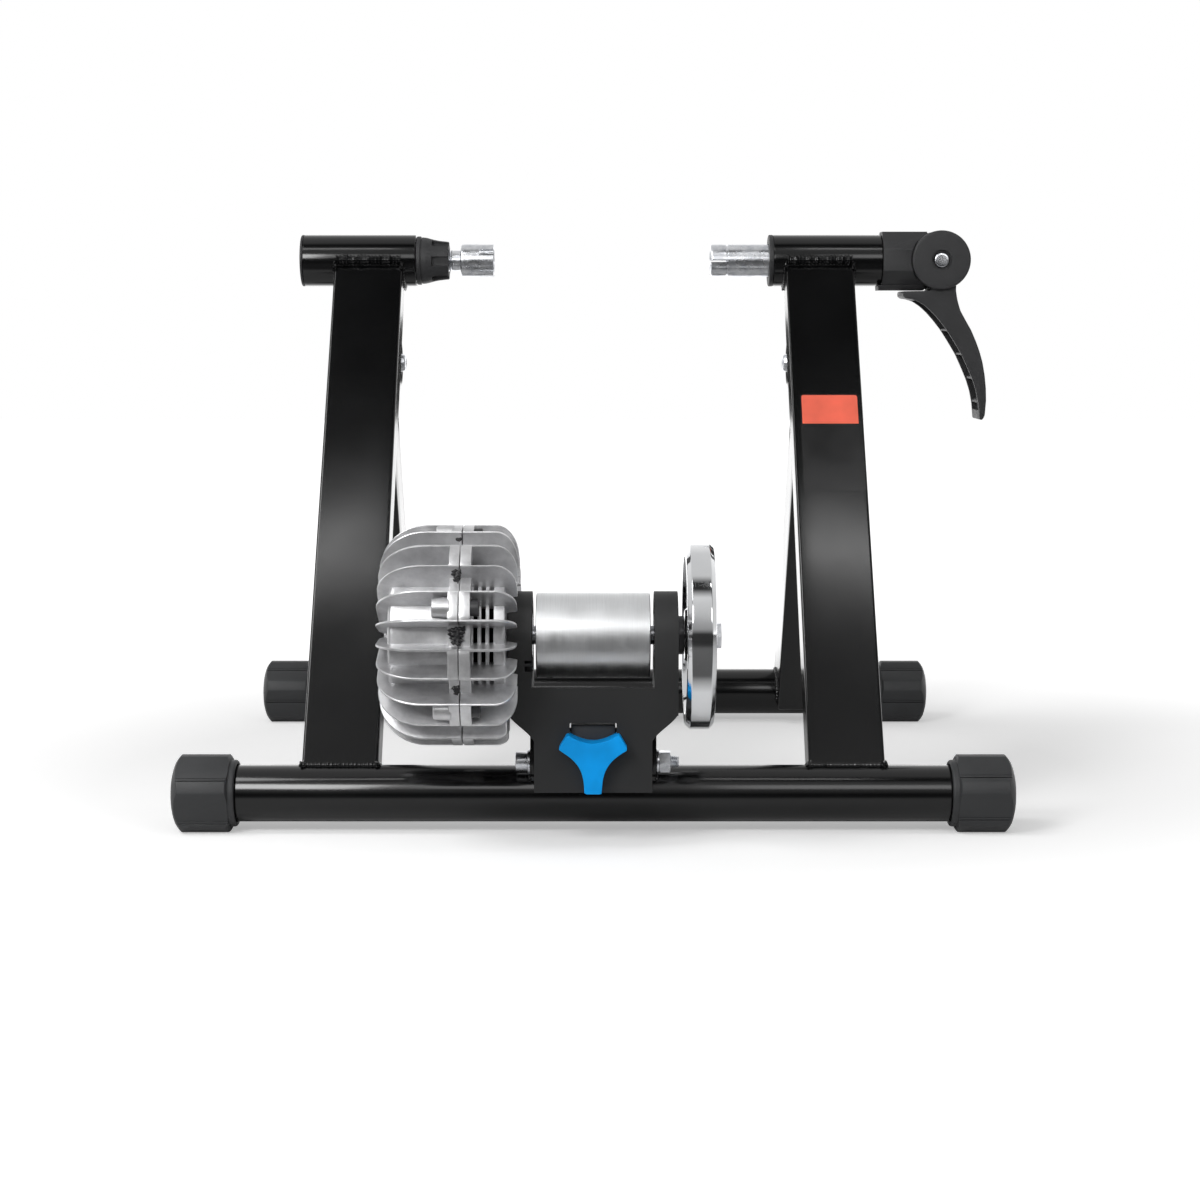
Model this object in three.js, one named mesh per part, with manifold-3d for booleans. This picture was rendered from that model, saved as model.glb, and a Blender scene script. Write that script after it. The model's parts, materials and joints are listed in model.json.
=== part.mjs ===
import * as THREE from 'three';
import { mergeVertices } from 'three/addons/utils/BufferGeometryUtils.js';
import Module from 'manifold-3d';

const wasm = await Module();
wasm.setup();

// Folding indoor trainer stand with a finned fluid resistance unit and a flywheel.
// Millimetres, +Z up, +X to the rider's right, +Y from the roller towards the wheel axle.
// Lengths of the frame
const baseWidth = 550;
const baseSpread = 419;
const baseTubeRadius = 18.5;
const baseTubeWall = 2;
const axleHeight = 375.3;
const axleSetback = 244.5;
const axleTubeRadius = 18.8;
const axleTubeWall = 2.2;
const uprightSpacing = 331;
const uprightWidth = 50;
const uprightDepth = 25;
const uprightWall = 1.8;
const rearLegWidth = 30;
const rearLegDepth = 50;
const rearLegWall = 1.8;

// Gaps: welded or bolted pieces, turning pieces, and the overrun of a cut
const seatGap = 0.3;
const turnGap = 0.3;
const cutOverrun = 2;

// Foot caps: one pad height for each flat, so that turning a cap levels the stand
const footPadHeights = [24.6, 24, 23.5, 23, 22.5];
const footRadius = 25.4;
const footLength = 41.5;
const footNoseLength = 3;
const footNoseInset = 3.6;
const footEndWall = 5;
const footLipRadius = 22.5;
const footLipLength = 3.4;

// Fold hinge between the uprights and the rear legs
const hingeBelowAxle = 63;
const bracketPlate = 3;
const bracketWidth = 44;
const bracketBelow = 34;
const bracketAbove = 26;
const bracketEarRadius = 17;
const hingeBoltRadius = 4;
const hingeHeadRadius = 7.5;
const hingeHeadLength = 4;
const hingeNutLength = 6.5;
const hingeThreadPast = 2;
const spacerRadius = 9;

// Left axle holder: a collar drives a threaded spindle that carries the axle cup
const leftTubeInner = 131.3;
const leftTubeOuter = 213.9;
const plugLip = 1.8;
const plugDepth = 12;
const collarLength = 23.7;
const collarRingRadius = 17.75;
const collarRingLength = 3.2;
const collarBaseRadius = 17.1;
const collarTipRadius = 13.75;
const collarSlots = 6;
const collarSlotWidth = 6.6;
const collarSlotLength = 12.3;
const collarSlotFloor = 12.2;
const adjusterRadius = 8.35;
const adjusterLength = 86;
const adjusterShow = 8.7;
const cupRadius = 12;
const cupLength = 24.1;
const cupBoreRadius = 9.2;
const cupBoreDepth = 17;
const cupGrooves = 6;
const cupGrooveWidth = 4.4;
const cupGrooveLength = 10.7;
const cupGrooveFloor = 10.9;
const bushLength = 20;

// Right axle holder: a lever pushes a plain spindle that carries the axle socket
const rightTubeInner = 128.7;
const rightTubeOuter = 211.7;
const spindleRadius = 11.85;
const spindleShow = 42.9;
const spindleBack = 58;
const socketBoreRadius = 8;
const socketBoreDepth = 18;
const socketSlotWidth = 2;
const socketSlotDepth = 12;
const spindleGrooveFromTip = 11.7;
const spindleGrooveWidth = 1.2;
const spindleGrooveDepth = 0.6;
const tailRadius = 6;
const spindleBushLength = 26;
const housingLength = 33;
const housingHeight = 42;
const housingFlat = 16.4;
const housingSpigot = 12;
const hubFromHousing = 42.2;
const hubRadius = 21.5;
const hubRecessGap = 0.6;
const tongueRadius = 18;
const tongueWidth = 30;
const cheekThickness = 7;
const leverPinRadius = 4;
const leverPinHead = 5.5;
const leverPinHeadLength = 2;
const pinRecessRadius = 7.6;
const pinRecessDepth = 1.6;
const tailToPin = 13;
const leverReach = 117;
const leverWidth = 35;
const leverWall = 3.2;
const leverRibs = 4;
const leverRibThickness = 2;
const leverFirstRib = 51;
const leverRibPitch = 17.6;

// Lever grip outline as shares of the reach, from the hub centre: out along the back, home along the front
const leverBackShares = [[0.1, -0.12], [0.096, -0.21], [0.112, -0.37], [0.179, -0.48], [0.246, -0.663],
  [0.259, -0.81], [0.246, -0.98]];
const leverFrontShares = [[0.222, -1], [0.203, -0.985], [0.185, -0.895], [0.155, -0.749], [0.088, -0.59],
  [0.003, -0.432], [-0.083, -0.322], [-0.168, -0.255], [-0.284, -0.212], [-0.282, -0.191], [-0.06, -0.191],
  [-0.04, -0.158]];

// Roller unit: yoke on its pivot bolt, roller, flywheel and fluid housing on one shaft
const rollerSetback = -30;
const rollerAbovePivot = 84.5;
const rollerRadius = 27;
const rollerHalfLength = 36;
const rollerEdge = 1.2;
const shaftRadius = 6;
const armInner = 38.5;
const armThickness = 15;
const armRadius = 28;
const bearingRadius = 14;
const bearingWidth = 8;
const journalRadius = 11;
const plateForward = 18;
const plateThickness = 4;
const plateBelowRoller = 2.7;
const plateShoulderDrop = 17.8;
const plateShoulderHeight = 14.7;
const plateBelowPivot = 11.8;
const lowerHalfWidth = 37.2;
const flangeThickness = 4;
const pivotSetback = -15;
const pivotAboveTube = 23.9;
const pivotEarRadius = 8.5;
const pivotBoltRadius = 4;
const pivotHeadRadius = 5.8;
const pivotHeadLength = 7.6;
const washerRadius = 8;
const washerThickness = 1.6;
const pivotNutRadius = 7.5;
const pivotNutLength = 7;
const pivotThreadPast = 5.5;
const rollerBracketPlate = 3;
const rollerBracketAboveKnob = 7.5;
const rollerBracketBelowPivot = 14.5;
const rollerBracketEar = 10;
const rollerBracketBack = 8;

// Tension knob, its stud and the block that the yoke is held by
const knobAbovePivot = 11;
const knobLobes = 3;
const knobLobeReach = 22;
const knobLobeHalfWidth = 6;
const knobWaist = 8.6;
const knobFlank = 11.6;
const knobFlankDegrees = 28;
const knobThickness = 16;
const knobStandOff = 3.4;
const studRadius = 4;
const studPast = 4;
const studNutRadius = 7.5;
const studNutLength = 6.5;
const blockWidth = 28;
const blockHeight = 29.5;
const blockDepth = 9;
const blockRise = 5;
const windowSlack = 1.7;
const studHoleGap = 4;

// Flywheel
const flywheelRadius = 59.5;
const flywheelWidth = 18;
const flywheelChamfer = 3;
const flywheelFrom = 58;
const flywheelDish = 4;
const flywheelRim = 9;
const flywheelHub = 16;
const shaftNutRadius = 9;
const shaftNutLength = 5;

// Fluid housing: a cup and a vented cover, both with fins all round
const finCount = 24;
const finThickness = 2.4;
const finRadius = 70.2;
const finLeft = -134.15;
const finRight = -47;
const finLeftCorner = 29.5;
const finLeftDrop = 26;
const finRightCorner = 13.7;
const finRightDrop = 21;
const finRightFoot = 30.2;
const finEmbed = 1;
const hubFinRadius = 14;
const finHeight = 19.2;
const coreWall = 4.5;
const coreLeft = -126.65;
const splitPlane = -81.8;
const splitGap = 0.4;
const flangeLeft = -88.3;
const flangeRight = -74.7;
const flangeLowDepth = 10.5;
const coverWall = 4.5;
const ventCount = 3;
const ventWidth = 2.5;
const ventPitch = 4.9;
const ventFirst = -73.6;
const endWallThickness = 7.2;
const endBossRadius = 20;
const screwDepth = 5.7;
const screwCount = 6;
const screwFirstAngle = -22.5;
const screwRadius = 2.5;
const screwHeadRadius = 4.4;
const screwHeadLength = 5;
const bossRadius = 5.6;
const bossLength = 10;
const hubCapRadius = 13;
const hubCapReach = 5.3;
const gasketWidth = 3;
const gasketThickness = 1;
const impellerGap = 5.5;
const impellerDisc = 3;
const impellerWidth = 16;
const impellerBlades = 6;
const impellerBladeThickness = 3;
const impellerHubRadius = 11;
const impellerFromEnd = 8;

// Rounding of circles
const largeSteps = 24;
const tubeSteps = 20;
const smallSteps = 12;
const cornerSteps = 3;
const footSteps = 2;
const screwSteps = 8;

// Places worked out from the sizes above
const baseHeight = footPadHeights[0];
const lean = Math.atan2(axleSetback, axleHeight - baseHeight);
const uprightLength = Math.hypot(axleSetback, axleHeight - baseHeight);
const uprightCentre = uprightSpacing / 2;
const hingeAlongUpright = uprightLength - hingeBelowAxle;
const hingeOffset = uprightDepth / 2 + seatGap + bracketPlate + turnGap + rearLegDepth / 2;
const hingeY = hingeAlongUpright * Math.sin(lean) + hingeOffset * Math.cos(lean);
const hingeZ = baseHeight + hingeAlongUpright * Math.cos(lean) - hingeOffset * Math.sin(lean);
const rearLean = Math.atan2(baseSpread - hingeY, hingeZ - baseHeight);
const rearLegLength = Math.hypot(baseSpread - hingeY, hingeZ - baseHeight);
const openAngle = lean + rearLean;
const tubeEnd = baseWidth / 2 - footEndWall - seatGap;
const hubX = rightTubeOuter + seatGap + hubFromHousing;
const armOuter = armInner + armThickness;
const pivotHeight = baseHeight + pivotAboveTube;
const knobHeight = pivotHeight + knobAbovePivot;
const rollerBracketTop = knobHeight + rollerBracketAboveKnob;
const rollerBracketBottom = pivotHeight - rollerBracketBelowPivot;
const rollerHeight = pivotHeight + rollerAbovePivot;
const plateFront = rollerSetback - plateForward;
const plateTop = rollerHeight - rollerRadius - plateBelowRoller;
const plateShoulderTop = plateTop - plateShoulderDrop;
const plateShoulderBottom = plateShoulderTop - plateShoulderHeight;
const plateBottom = pivotHeight - plateBelowPivot;
const bracketInner = lowerHalfWidth + turnGap;
const bracketOuter = bracketInner + rollerBracketPlate;
const backPlateFront = rollerBracketBack - rollerBracketPlate;
const coreRadius = finRadius - finHeight;
const finInnerRight = finRadius - finRightFoot;
const flangeLowRadius = finRadius - flangeLowDepth;
const screwCircle = finRadius - screwDepth;
const impellerRadius = coreRadius - coreWall - impellerGap;
const splitLeft = splitPlane - splitGap / 2;
const splitRight = splitPlane + splitGap / 2;
const fullTurn = Math.PI * 2;
const downDegrees = -90;

// Satin black steel, black plastics, zinc, cast and machined aluminium, chrome and blue
const paint = { color: 0x17181a, roughness: 0.32, metalness: 0.2 };
const rubber = { color: 0x2a2b2d, roughness: 0.7, metalness: 0 };
const nylon = { color: 0x232426, roughness: 0.6, metalness: 0 };
const zinc = { color: 0xc4cbd2, roughness: 0.3, metalness: 1 };
const castAluminium = { color: 0xb9bbbd, roughness: 0.45, metalness: 0.9 };
const machined = { color: 0xd6d8da, roughness: 0.3, metalness: 1 };
const chrome = { color: 0xe6e8ea, roughness: 0.08, metalness: 1 };
const blue = { color: 0x1098ea, roughness: 0.4, metalness: 0 };

function signedVolume(points, index) {
  const a = new THREE.Vector3();
  const b = new THREE.Vector3();
  const c = new THREE.Vector3();
  let volume = 0;
  for (let i = 0; i < index.length; i += 3) {
    a.fromBufferAttribute(points, index[i]);
    b.fromBufferAttribute(points, index[i + 1]);
    c.fromBufferAttribute(points, index[i + 2]);
    volume += a.dot(b.cross(c));
  }
  return volume;
}

// Manifold solid of a closed three.js geometry, with its faces turned outwards
function solid(geometry) {
  const bare = geometry.clone();
  bare.deleteAttribute('normal');
  bare.deleteAttribute('uv');
  const merged = mergeVertices(bare);
  const points = merged.getAttribute('position');
  const index = [];
  for (let i = 0; i < merged.index.count; i += 3) {
    const face = [0, 1, 2].map((corner) => merged.index.getX(i + corner));
    if (new Set(face).size === face.length) index.push(...face);
  }
  if (signedVolume(points, index) < 0) index.reverse();
  return new wasm.Manifold(new wasm.Mesh({
    numProp: 3,
    vertProperties: new Float32Array(points.array),
    triVerts: new Uint32Array(index),
  }));
}

function geometryOf(body) {
  const mesh = body.getMesh();
  const geometry = new THREE.BufferGeometry();
  geometry.setAttribute('position', new THREE.BufferAttribute(new Float32Array(mesh.vertProperties), 3));
  geometry.setIndex(new THREE.BufferAttribute(new Uint32Array(mesh.triVerts), 1));
  return geometry;
}

function joined(bodies) {
  return bodies.reduce((whole, next) => whole.add(next));
}

function without(body, cuts) {
  return cuts.reduce((rest, cut) => rest.subtract(cut), body);
}

// Round body about the X axis: the profile is a list of [radius, x]
function turned(profile, steps = tubeSteps) {
  const points = profile.map(([radius, x]) => new THREE.Vector2(radius, x));
  return solid(new THREE.LatheGeometry(points, steps).rotateZ(-Math.PI / 2));
}

function rod(radius, from, to, steps = tubeSteps) {
  return turned([[0, from], [radius, from], [radius, to], [0, to]], steps);
}

function ring(inner, outer, from, to, steps = tubeSteps) {
  return turned([[inner, from], [outer, from], [outer, to], [inner, to], [inner, from]], steps);
}

function shapeOf(points) {
  return new THREE.Shape(points.map(([u, v]) => new THREE.Vector2(u, v)));
}

// Prism along X of an outline given as [y, z]
function prismX(points, from, to) {
  const geometry = new THREE.ExtrudeGeometry(shapeOf(points), { depth: to - from, bevelEnabled: false });
  const turn = new THREE.Matrix4().makeBasis(
    new THREE.Vector3(0, 1, 0), new THREE.Vector3(0, 0, 1), new THREE.Vector3(1, 0, 0));
  return solid(geometry.applyMatrix4(turn).translate(from, 0, 0));
}

// Prism along Y of an outline given as [x, z]
function prismY(points, from, to) {
  const geometry = new THREE.ExtrudeGeometry(shapeOf(points), { depth: to - from, bevelEnabled: false });
  return solid(geometry.rotateX(Math.PI / 2).translate(0, to, 0));
}

function block(x0, x1, y0, y1, z0, z1) {
  return prismX([[y0, z0], [y1, z0], [y1, z1], [y0, z1]], x0, x1);
}

function arc(centreU, centreV, radius, fromDegrees, toDegrees, steps) {
  const points = [];
  for (let i = 0; i <= steps; i += 1) {
    const angle = THREE.MathUtils.degToRad(fromDegrees + (toDegrees - fromDegrees) * i / steps);
    points.push([centreU + radius * Math.cos(angle), centreV + radius * Math.sin(angle)]);
  }
  return points;
}

function rodY(radius, x, z, from, to, steps = tubeSteps) {
  return prismY(arc(x, z, radius, 0, 360, steps).slice(1), from, to);
}

function hexX(radius, from, to) {
  return prismX(arc(0, 0, radius, 0, 360, 6).slice(1), from, to);
}

function hexY(radius, x, z, from, to) {
  return prismY(arc(x, z, radius, 0, 360, 6).slice(1), from, to);
}

// The stretch between two distances from the middle plane, on the side of the sign
function stretch(side, near, far) {
  return side > 0 ? [near, far] : [-far, -near];
}

const stand = new THREE.Group();
const upper = new THREE.Group();
upper.position.set(0, 0, baseHeight);
upper.rotation.x = -lean;
const rear = new THREE.Group();
rear.position.set(0, hingeY, hingeZ);
rear.rotation.x = rearLean;
const axleLine = new THREE.Group();
axleLine.position.set(0, axleSetback, axleHeight);
const rollerLine = new THREE.Group();
rollerLine.position.set(0, rollerSetback, rollerHeight);
const pivotLine = new THREE.Group();
pivotLine.position.set(0, pivotSetback, pivotHeight);
stand.add(upper, rear, axleLine, rollerLine, pivotLine);

function piece(name, body, look, parent, x = 0, y = 0, z = 0) {
  const mesh = new THREE.Mesh(geometryOf(body), new THREE.MeshStandardMaterial(look));
  mesh.name = name;
  mesh.position.set(x, y, z);
  parent.add(mesh);
  return mesh;
}

function baseTube(name, y) {
  const tube = ring(baseTubeRadius - baseTubeWall, baseTubeRadius, -tubeEnd, tubeEnd);
  piece(name, tube, paint, stand, 0, y, baseHeight);
}

// Round cap with a flat for each pad height; the first flat lies on the floor
function footOutline(inset) {
  const pads = footPadHeights.length;
  const points = [];
  for (let pad = 0; pad < pads; pad += 1) {
    const middle = downDegrees + pad * 360 / pads;
    const half = THREE.MathUtils.radToDeg(Math.acos(footPadHeights[pad] / footRadius));
    const next = downDegrees + (pad + 1) * 360 / pads;
    const nextHalf = THREE.MathUtils.radToDeg(
      Math.acos(footPadHeights[(pad + 1) % pads] / footRadius));
    points.push(...arc(0, 0, footRadius - inset, middle + half, next - nextHalf, footSteps));
  }
  return points;
}

function foot(name, side, y) {
  const end = baseWidth / 2;
  const [bodyFrom, bodyTo] = stretch(side, end - footLength, end - footNoseLength);
  const [noseFrom, noseTo] = stretch(side, end - footNoseLength - footEndWall / 2, end);
  const [lipFrom, lipTo] = stretch(side, end - footLength - footLipLength, end - footLength + seatGap);
  const [boreFrom, boreTo] = stretch(side, end - footLength - footLipLength - cutOverrun, end - footEndWall);
  const shell = joined([
    prismX(footOutline(0), bodyFrom, bodyTo),
    prismX(footOutline(footNoseInset), noseFrom, noseTo),
    rod(footLipRadius, lipFrom, lipTo),
  ]);
  const cap = without(shell, [rod(baseTubeRadius + turnGap, boreFrom, boreTo)]);
  piece(name, cap, rubber, stand, 0, y, baseHeight);
}

function upright(name, side) {
  const [from, to] = stretch(side, uprightCentre - uprightWidth / 2, uprightCentre + uprightWidth / 2);
  const half = uprightDepth / 2;
  const outer = block(from, to, -half, half, 0, uprightLength);
  const core = block(from + uprightWall, to - uprightWall, -half + uprightWall, half - uprightWall,
    -cutOverrun, uprightLength + cutOverrun);
  const foot = rod(baseTubeRadius + seatGap, from - cutOverrun, to + cutOverrun);
  const head = rod(axleTubeRadius + seatGap, from - cutOverrun, to + cutOverrun);
  piece(name, without(outer, [core, foot, head.translate([0, 0, uprightLength])]), paint, upper);
}

function hingeBracket(name, side) {
  const near = uprightCentre - bracketWidth / 2;
  const far = uprightCentre + bracketWidth / 2;
  const [from, to] = stretch(side, near, far);
  const face = uprightDepth / 2 + seatGap;
  const outline = [
    [face, hingeAlongUpright - bracketBelow],
    [hingeOffset, hingeAlongUpright - bracketBelow],
    ...arc(hingeOffset, hingeAlongUpright, bracketEarRadius, -45, 90, cornerSteps),
    [face, hingeAlongUpright + bracketAbove],
  ];
  const [gapFrom, gapTo] = stretch(side, near + bracketPlate, far - bracketPlate);
  const gap = block(gapFrom, gapTo, face + bracketPlate, hingeOffset + bracketEarRadius + cutOverrun,
    hingeAlongUpright - bracketBelow - cutOverrun, hingeAlongUpright + bracketAbove + cutOverrun);
  const bolt = rod(hingeBoltRadius + turnGap, from - cutOverrun, to + cutOverrun, smallSteps);
  const cuts = [gap, bolt.translate([0, hingeOffset, hingeAlongUpright])];
  piece(name, without(prismX(outline, from, to), cuts), paint, upper);
}

function hingeHardware(side, word) {
  const near = uprightCentre - bracketWidth / 2;
  const far = uprightCentre + bracketWidth / 2;
  const [headFrom, headTo] = stretch(side, near - seatGap - hingeHeadLength, near - seatGap);
  const nutNear = far + seatGap;
  const [shankFrom, shankTo] = stretch(side, near - seatGap - hingeHeadLength / 2,
    nutNear + hingeNutLength + hingeThreadPast);
  const bolt = joined([rod(hingeHeadRadius, headFrom, headTo, smallSteps),
    rod(hingeBoltRadius, shankFrom, shankTo, smallSteps)]);
  piece(`${word}_hinge_bolt`, bolt, zinc, upper, 0, hingeOffset, hingeAlongUpright);
  const [nutFrom, nutTo] = stretch(side, nutNear, nutNear + hingeNutLength);
  const hole = rod(hingeBoltRadius + turnGap, nutFrom - cutOverrun, nutTo + cutOverrun, smallSteps);
  piece(`${word}_hinge_nut`, without(hexX(hingeHeadRadius, nutFrom, nutTo), [hole]), zinc, upper,
    0, hingeOffset, hingeAlongUpright);
  const legNear = uprightCentre - rearLegWidth / 2;
  const legFar = uprightCentre + rearLegWidth / 2;
  const spacers = {
    inner: stretch(side, near + bracketPlate + seatGap, legNear - turnGap),
    outer: stretch(side, legFar + turnGap, far - bracketPlate - seatGap),
  };
  for (const [place, [from, to]] of Object.entries(spacers)) {
    piece(`${word}_${place}_hinge_spacer`, ring(hingeBoltRadius + turnGap, spacerRadius, from, to, smallSteps),
      nylon, upper, 0, hingeOffset, hingeAlongUpright);
  }
}

// Box tube with a rounded end that turns in the bracket and a bevel that stops flat on its back
function rearLeg(name, side) {
  const [from, to] = stretch(side, uprightCentre - rearLegWidth / 2, uprightCentre + rearLegWidth / 2);
  const half = rearLegDepth / 2;
  const bevelTop = half * (1 + Math.cos(openAngle)) / Math.sin(openAngle);
  const stopDegrees = 180 - THREE.MathUtils.radToDeg(openAngle);
  const outline = [
    [-half, -rearLegLength],
    ...arc(0, 0, half, 180, stopDegrees, cornerSteps * 2),
    [half, bevelTop],
    [half, -rearLegLength],
  ];
  const core = block(from + rearLegWall, to - rearLegWall, -half + rearLegWall, half - rearLegWall,
    -rearLegLength - cutOverrun, bevelTop + cutOverrun);
  const tube = rod(baseTubeRadius + seatGap, from - cutOverrun, to + cutOverrun);
  const bolt = rod(hingeBoltRadius + turnGap, from - cutOverrun, to + cutOverrun, smallSteps);
  const leg = without(prismX(outline, from, to), [core, tube.translate([0, 0, -rearLegLength]), bolt]);
  piece(name, leg, paint, rear);
}

function leftHolder() {
  const bore = axleTubeRadius - axleTubeWall;
  piece('left_axle_tube', ring(bore, axleTubeRadius, -leftTubeOuter, -leftTubeInner), paint, axleLine);
  const plug = joined([
    rod(axleTubeRadius, -leftTubeOuter - seatGap - plugLip, -leftTubeOuter - seatGap),
    rod(bore - seatGap, -leftTubeOuter - seatGap * 2, -leftTubeOuter + plugDepth),
  ]);
  piece('left_tube_plug', plug, nylon, axleLine);
  const bushEnd = -leftTubeInner - seatGap;
  piece('adjuster_bush', ring(adjusterRadius + turnGap, bore - seatGap, bushEnd - bushLength, bushEnd),
    zinc, axleLine);

  const collarFrom = -leftTubeInner + turnGap;
  const collarTo = collarFrom + collarLength;
  const collar = turned([
    [adjusterRadius + turnGap, collarFrom], [collarRingRadius, collarFrom],
    [collarRingRadius, collarFrom + collarRingLength], [collarBaseRadius, collarFrom + collarRingLength],
    [collarTipRadius, collarTo],
    [adjusterRadius + turnGap, collarTo], [adjusterRadius + turnGap, collarFrom],
  ]);
  const slots = [];
  for (let i = 0; i < collarSlots; i += 1) {
    const slot = block(collarTo - collarSlotLength, collarTo + cutOverrun, collarSlotFloor,
      collarRingRadius + cutOverrun, -collarSlotWidth / 2, collarSlotWidth / 2);
    slots.push(slot.rotate([i * 360 / collarSlots, 0, 0]));
  }
  piece('adjuster_collar', without(collar, slots), nylon, axleLine);

  const spindleEnd = collarTo + adjusterShow;
  piece('adjuster_spindle', rod(adjusterRadius, spindleEnd - adjusterLength, spindleEnd), zinc, axleLine);
  const cupFrom = spindleEnd + seatGap;
  const cupTo = cupFrom + cupLength;
  const cup = turned([
    [0, cupFrom], [cupRadius, cupFrom], [cupRadius, cupTo], [cupBoreRadius, cupTo],
    [cupBoreRadius, cupTo - cupBoreDepth], [0, cupTo - cupBoreDepth],
  ]);
  const grooves = [];
  for (let i = 0; i < cupGrooves; i += 1) {
    const groove = block(cupTo - cupGrooveLength, cupTo + cutOverrun, cupGrooveFloor,
      cupRadius + cutOverrun, -cupGrooveWidth / 2, cupGrooveWidth / 2);
    grooves.push(groove.rotate([(i + 0.5) * 360 / cupGrooves, 0, 0]));
  }
  piece('adjuster_cup', without(cup, grooves), zinc, axleLine);
}

function rightHolder() {
  const bore = axleTubeRadius - axleTubeWall;
  piece('right_axle_tube', ring(bore, axleTubeRadius, rightTubeInner, rightTubeOuter), paint, axleLine);
  piece('spindle_bush', ring(spindleRadius + turnGap, bore - seatGap, rightTubeInner + seatGap,
    rightTubeInner + seatGap + spindleBushLength), zinc, axleLine);

  const tip = rightTubeInner - spindleShow;
  const back = rightTubeInner + spindleBack;
  const groove = tip + spindleGrooveFromTip;
  const floor = spindleRadius - spindleGrooveDepth;
  const spindle = turned([
    [0, tip + socketBoreDepth], [socketBoreRadius, tip + socketBoreDepth], [socketBoreRadius, tip],
    [floor, tip], [spindleRadius, tip + spindleGrooveDepth], [spindleRadius, groove], [floor, groove],
    [floor, groove + spindleGrooveWidth], [spindleRadius, groove + spindleGrooveWidth],
    [spindleRadius, back], [tailRadius, back], [tailRadius, hubX - tailToPin], [0, hubX - tailToPin],
  ]);
  const slot = block(tip - cutOverrun, tip + socketSlotDepth, -spindleRadius - cutOverrun,
    spindleRadius + cutOverrun, -socketSlotWidth / 2, socketSlotWidth / 2);
  piece('clamp_spindle', without(spindle, [slot]), zinc, axleLine);
  clampHousing(bore);
  clampLever();
}

function clampHousing(bore) {
  const from = rightTubeOuter + seatGap;
  const half = housingHeight / 2;
  const flat = housingFlat / 2;
  const outline = [[-half, -flat], [-flat, -half], [flat, -half], [half, -flat],
    [half, flat], [flat, half], [-flat, half], [-half, flat]];
  const recess = tongueWidth / 2;
  const body = prismX(outline, from, from + housingLength);
  const tongue = prismY([[from + housingLength - cutOverrun, -tongueRadius],
    ...arc(hubX, 0, tongueRadius, -90, 90, cornerSteps * 2),
    [from + housingLength - cutOverrun, tongueRadius]], -recess + seatGap, recess - seatGap);
  const spigot = rod(bore - seatGap, from - housingSpigot, from + cutOverrun);
  const room = hubRadius + hubRecessGap;
  const cuts = [
    rodY(room, hubX, 0, -half - cutOverrun, -recess),
    rodY(room, hubX, 0, recess, half + cutOverrun),
    rod(tailRadius + turnGap, from - housingSpigot - cutOverrun, hubX),
    rodY(leverPinRadius + turnGap, hubX, 0, -half, half, smallSteps),
  ];
  piece('clamp_housing', without(joined([body, tongue, spigot]), cuts), nylon, axleLine);
}

// Grip moulded with two round cheeks; its inner side is hollow with cross ribs
function clampLever() {
  const inner = tongueWidth / 2 + turnGap;
  const outer = inner + cheekThickness;
  const place = ([x, z]) => [hubX + x * leverReach, z * leverReach];
  const outline = [...leverBackShares, ...leverFrontShares].map(place);
  const grip = prismY(outline, -leverWidth / 2, leverWidth / 2);
  const hole = rodY(leverPinRadius + turnGap, hubX, 0, -outer - cutOverrun, outer + cutOverrun, smallSteps);
  const recess = rodY(pinRecessRadius, hubX, 0, -outer - cutOverrun, -outer + pinRecessDepth, smallSteps);
  const tongueRoom = rodY(tongueRadius + turnGap * 2, hubX, 0, -inner, inner);
  const front = leverFrontShares.slice(1, 8).map(place);
  const pocketOutline = [
    ...front.map(([x, z]) => [x - leverWall, z + leverWall]),
    ...front.map(([x, z]) => [x + leverWall, z]).reverse(),
  ];
  const pocketHalf = leverWidth / 2 - leverWall;
  const pocket = prismY(pocketOutline, -pocketHalf, pocketHalf);
  const ribs = [];
  for (let i = 0; i < leverRibs; i += 1) {
    const z = -leverFirstRib - i * leverRibPitch;
    ribs.push(block(hubX - leverReach / 2, hubX + leverReach / 2, -leverWidth / 2 + leverWall / 2,
      leverWidth / 2 - leverWall / 2, z - leverRibThickness / 2, z + leverRibThickness / 2));
  }
  const ribBodies = joined(ribs).intersect(prismY(outline, -leverWidth / 2, leverWidth / 2));
  const hollow = without(grip, [tongueRoom, pocket.subtract(ribBodies)]);
  const cheeks = [rodY(hubRadius, hubX, 0, -outer, -inner), rodY(hubRadius, hubX, 0, inner, outer)];
  piece('clamp_lever', without(joined([hollow, ...cheeks]), [hole, recess]), nylon, axleLine);

  const headFrom = -outer + pinRecessDepth - leverPinHeadLength;
  const pinHead = rodY(leverPinHead, hubX, 0, headFrom, headFrom + leverPinHeadLength - seatGap, smallSteps);
  const shank = rodY(leverPinRadius, hubX, 0, headFrom + leverPinHeadLength / 2, outer - seatGap, smallSteps);
  piece('lever_pin', joined([pinHead, shank]), zinc, axleLine);
}

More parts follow.
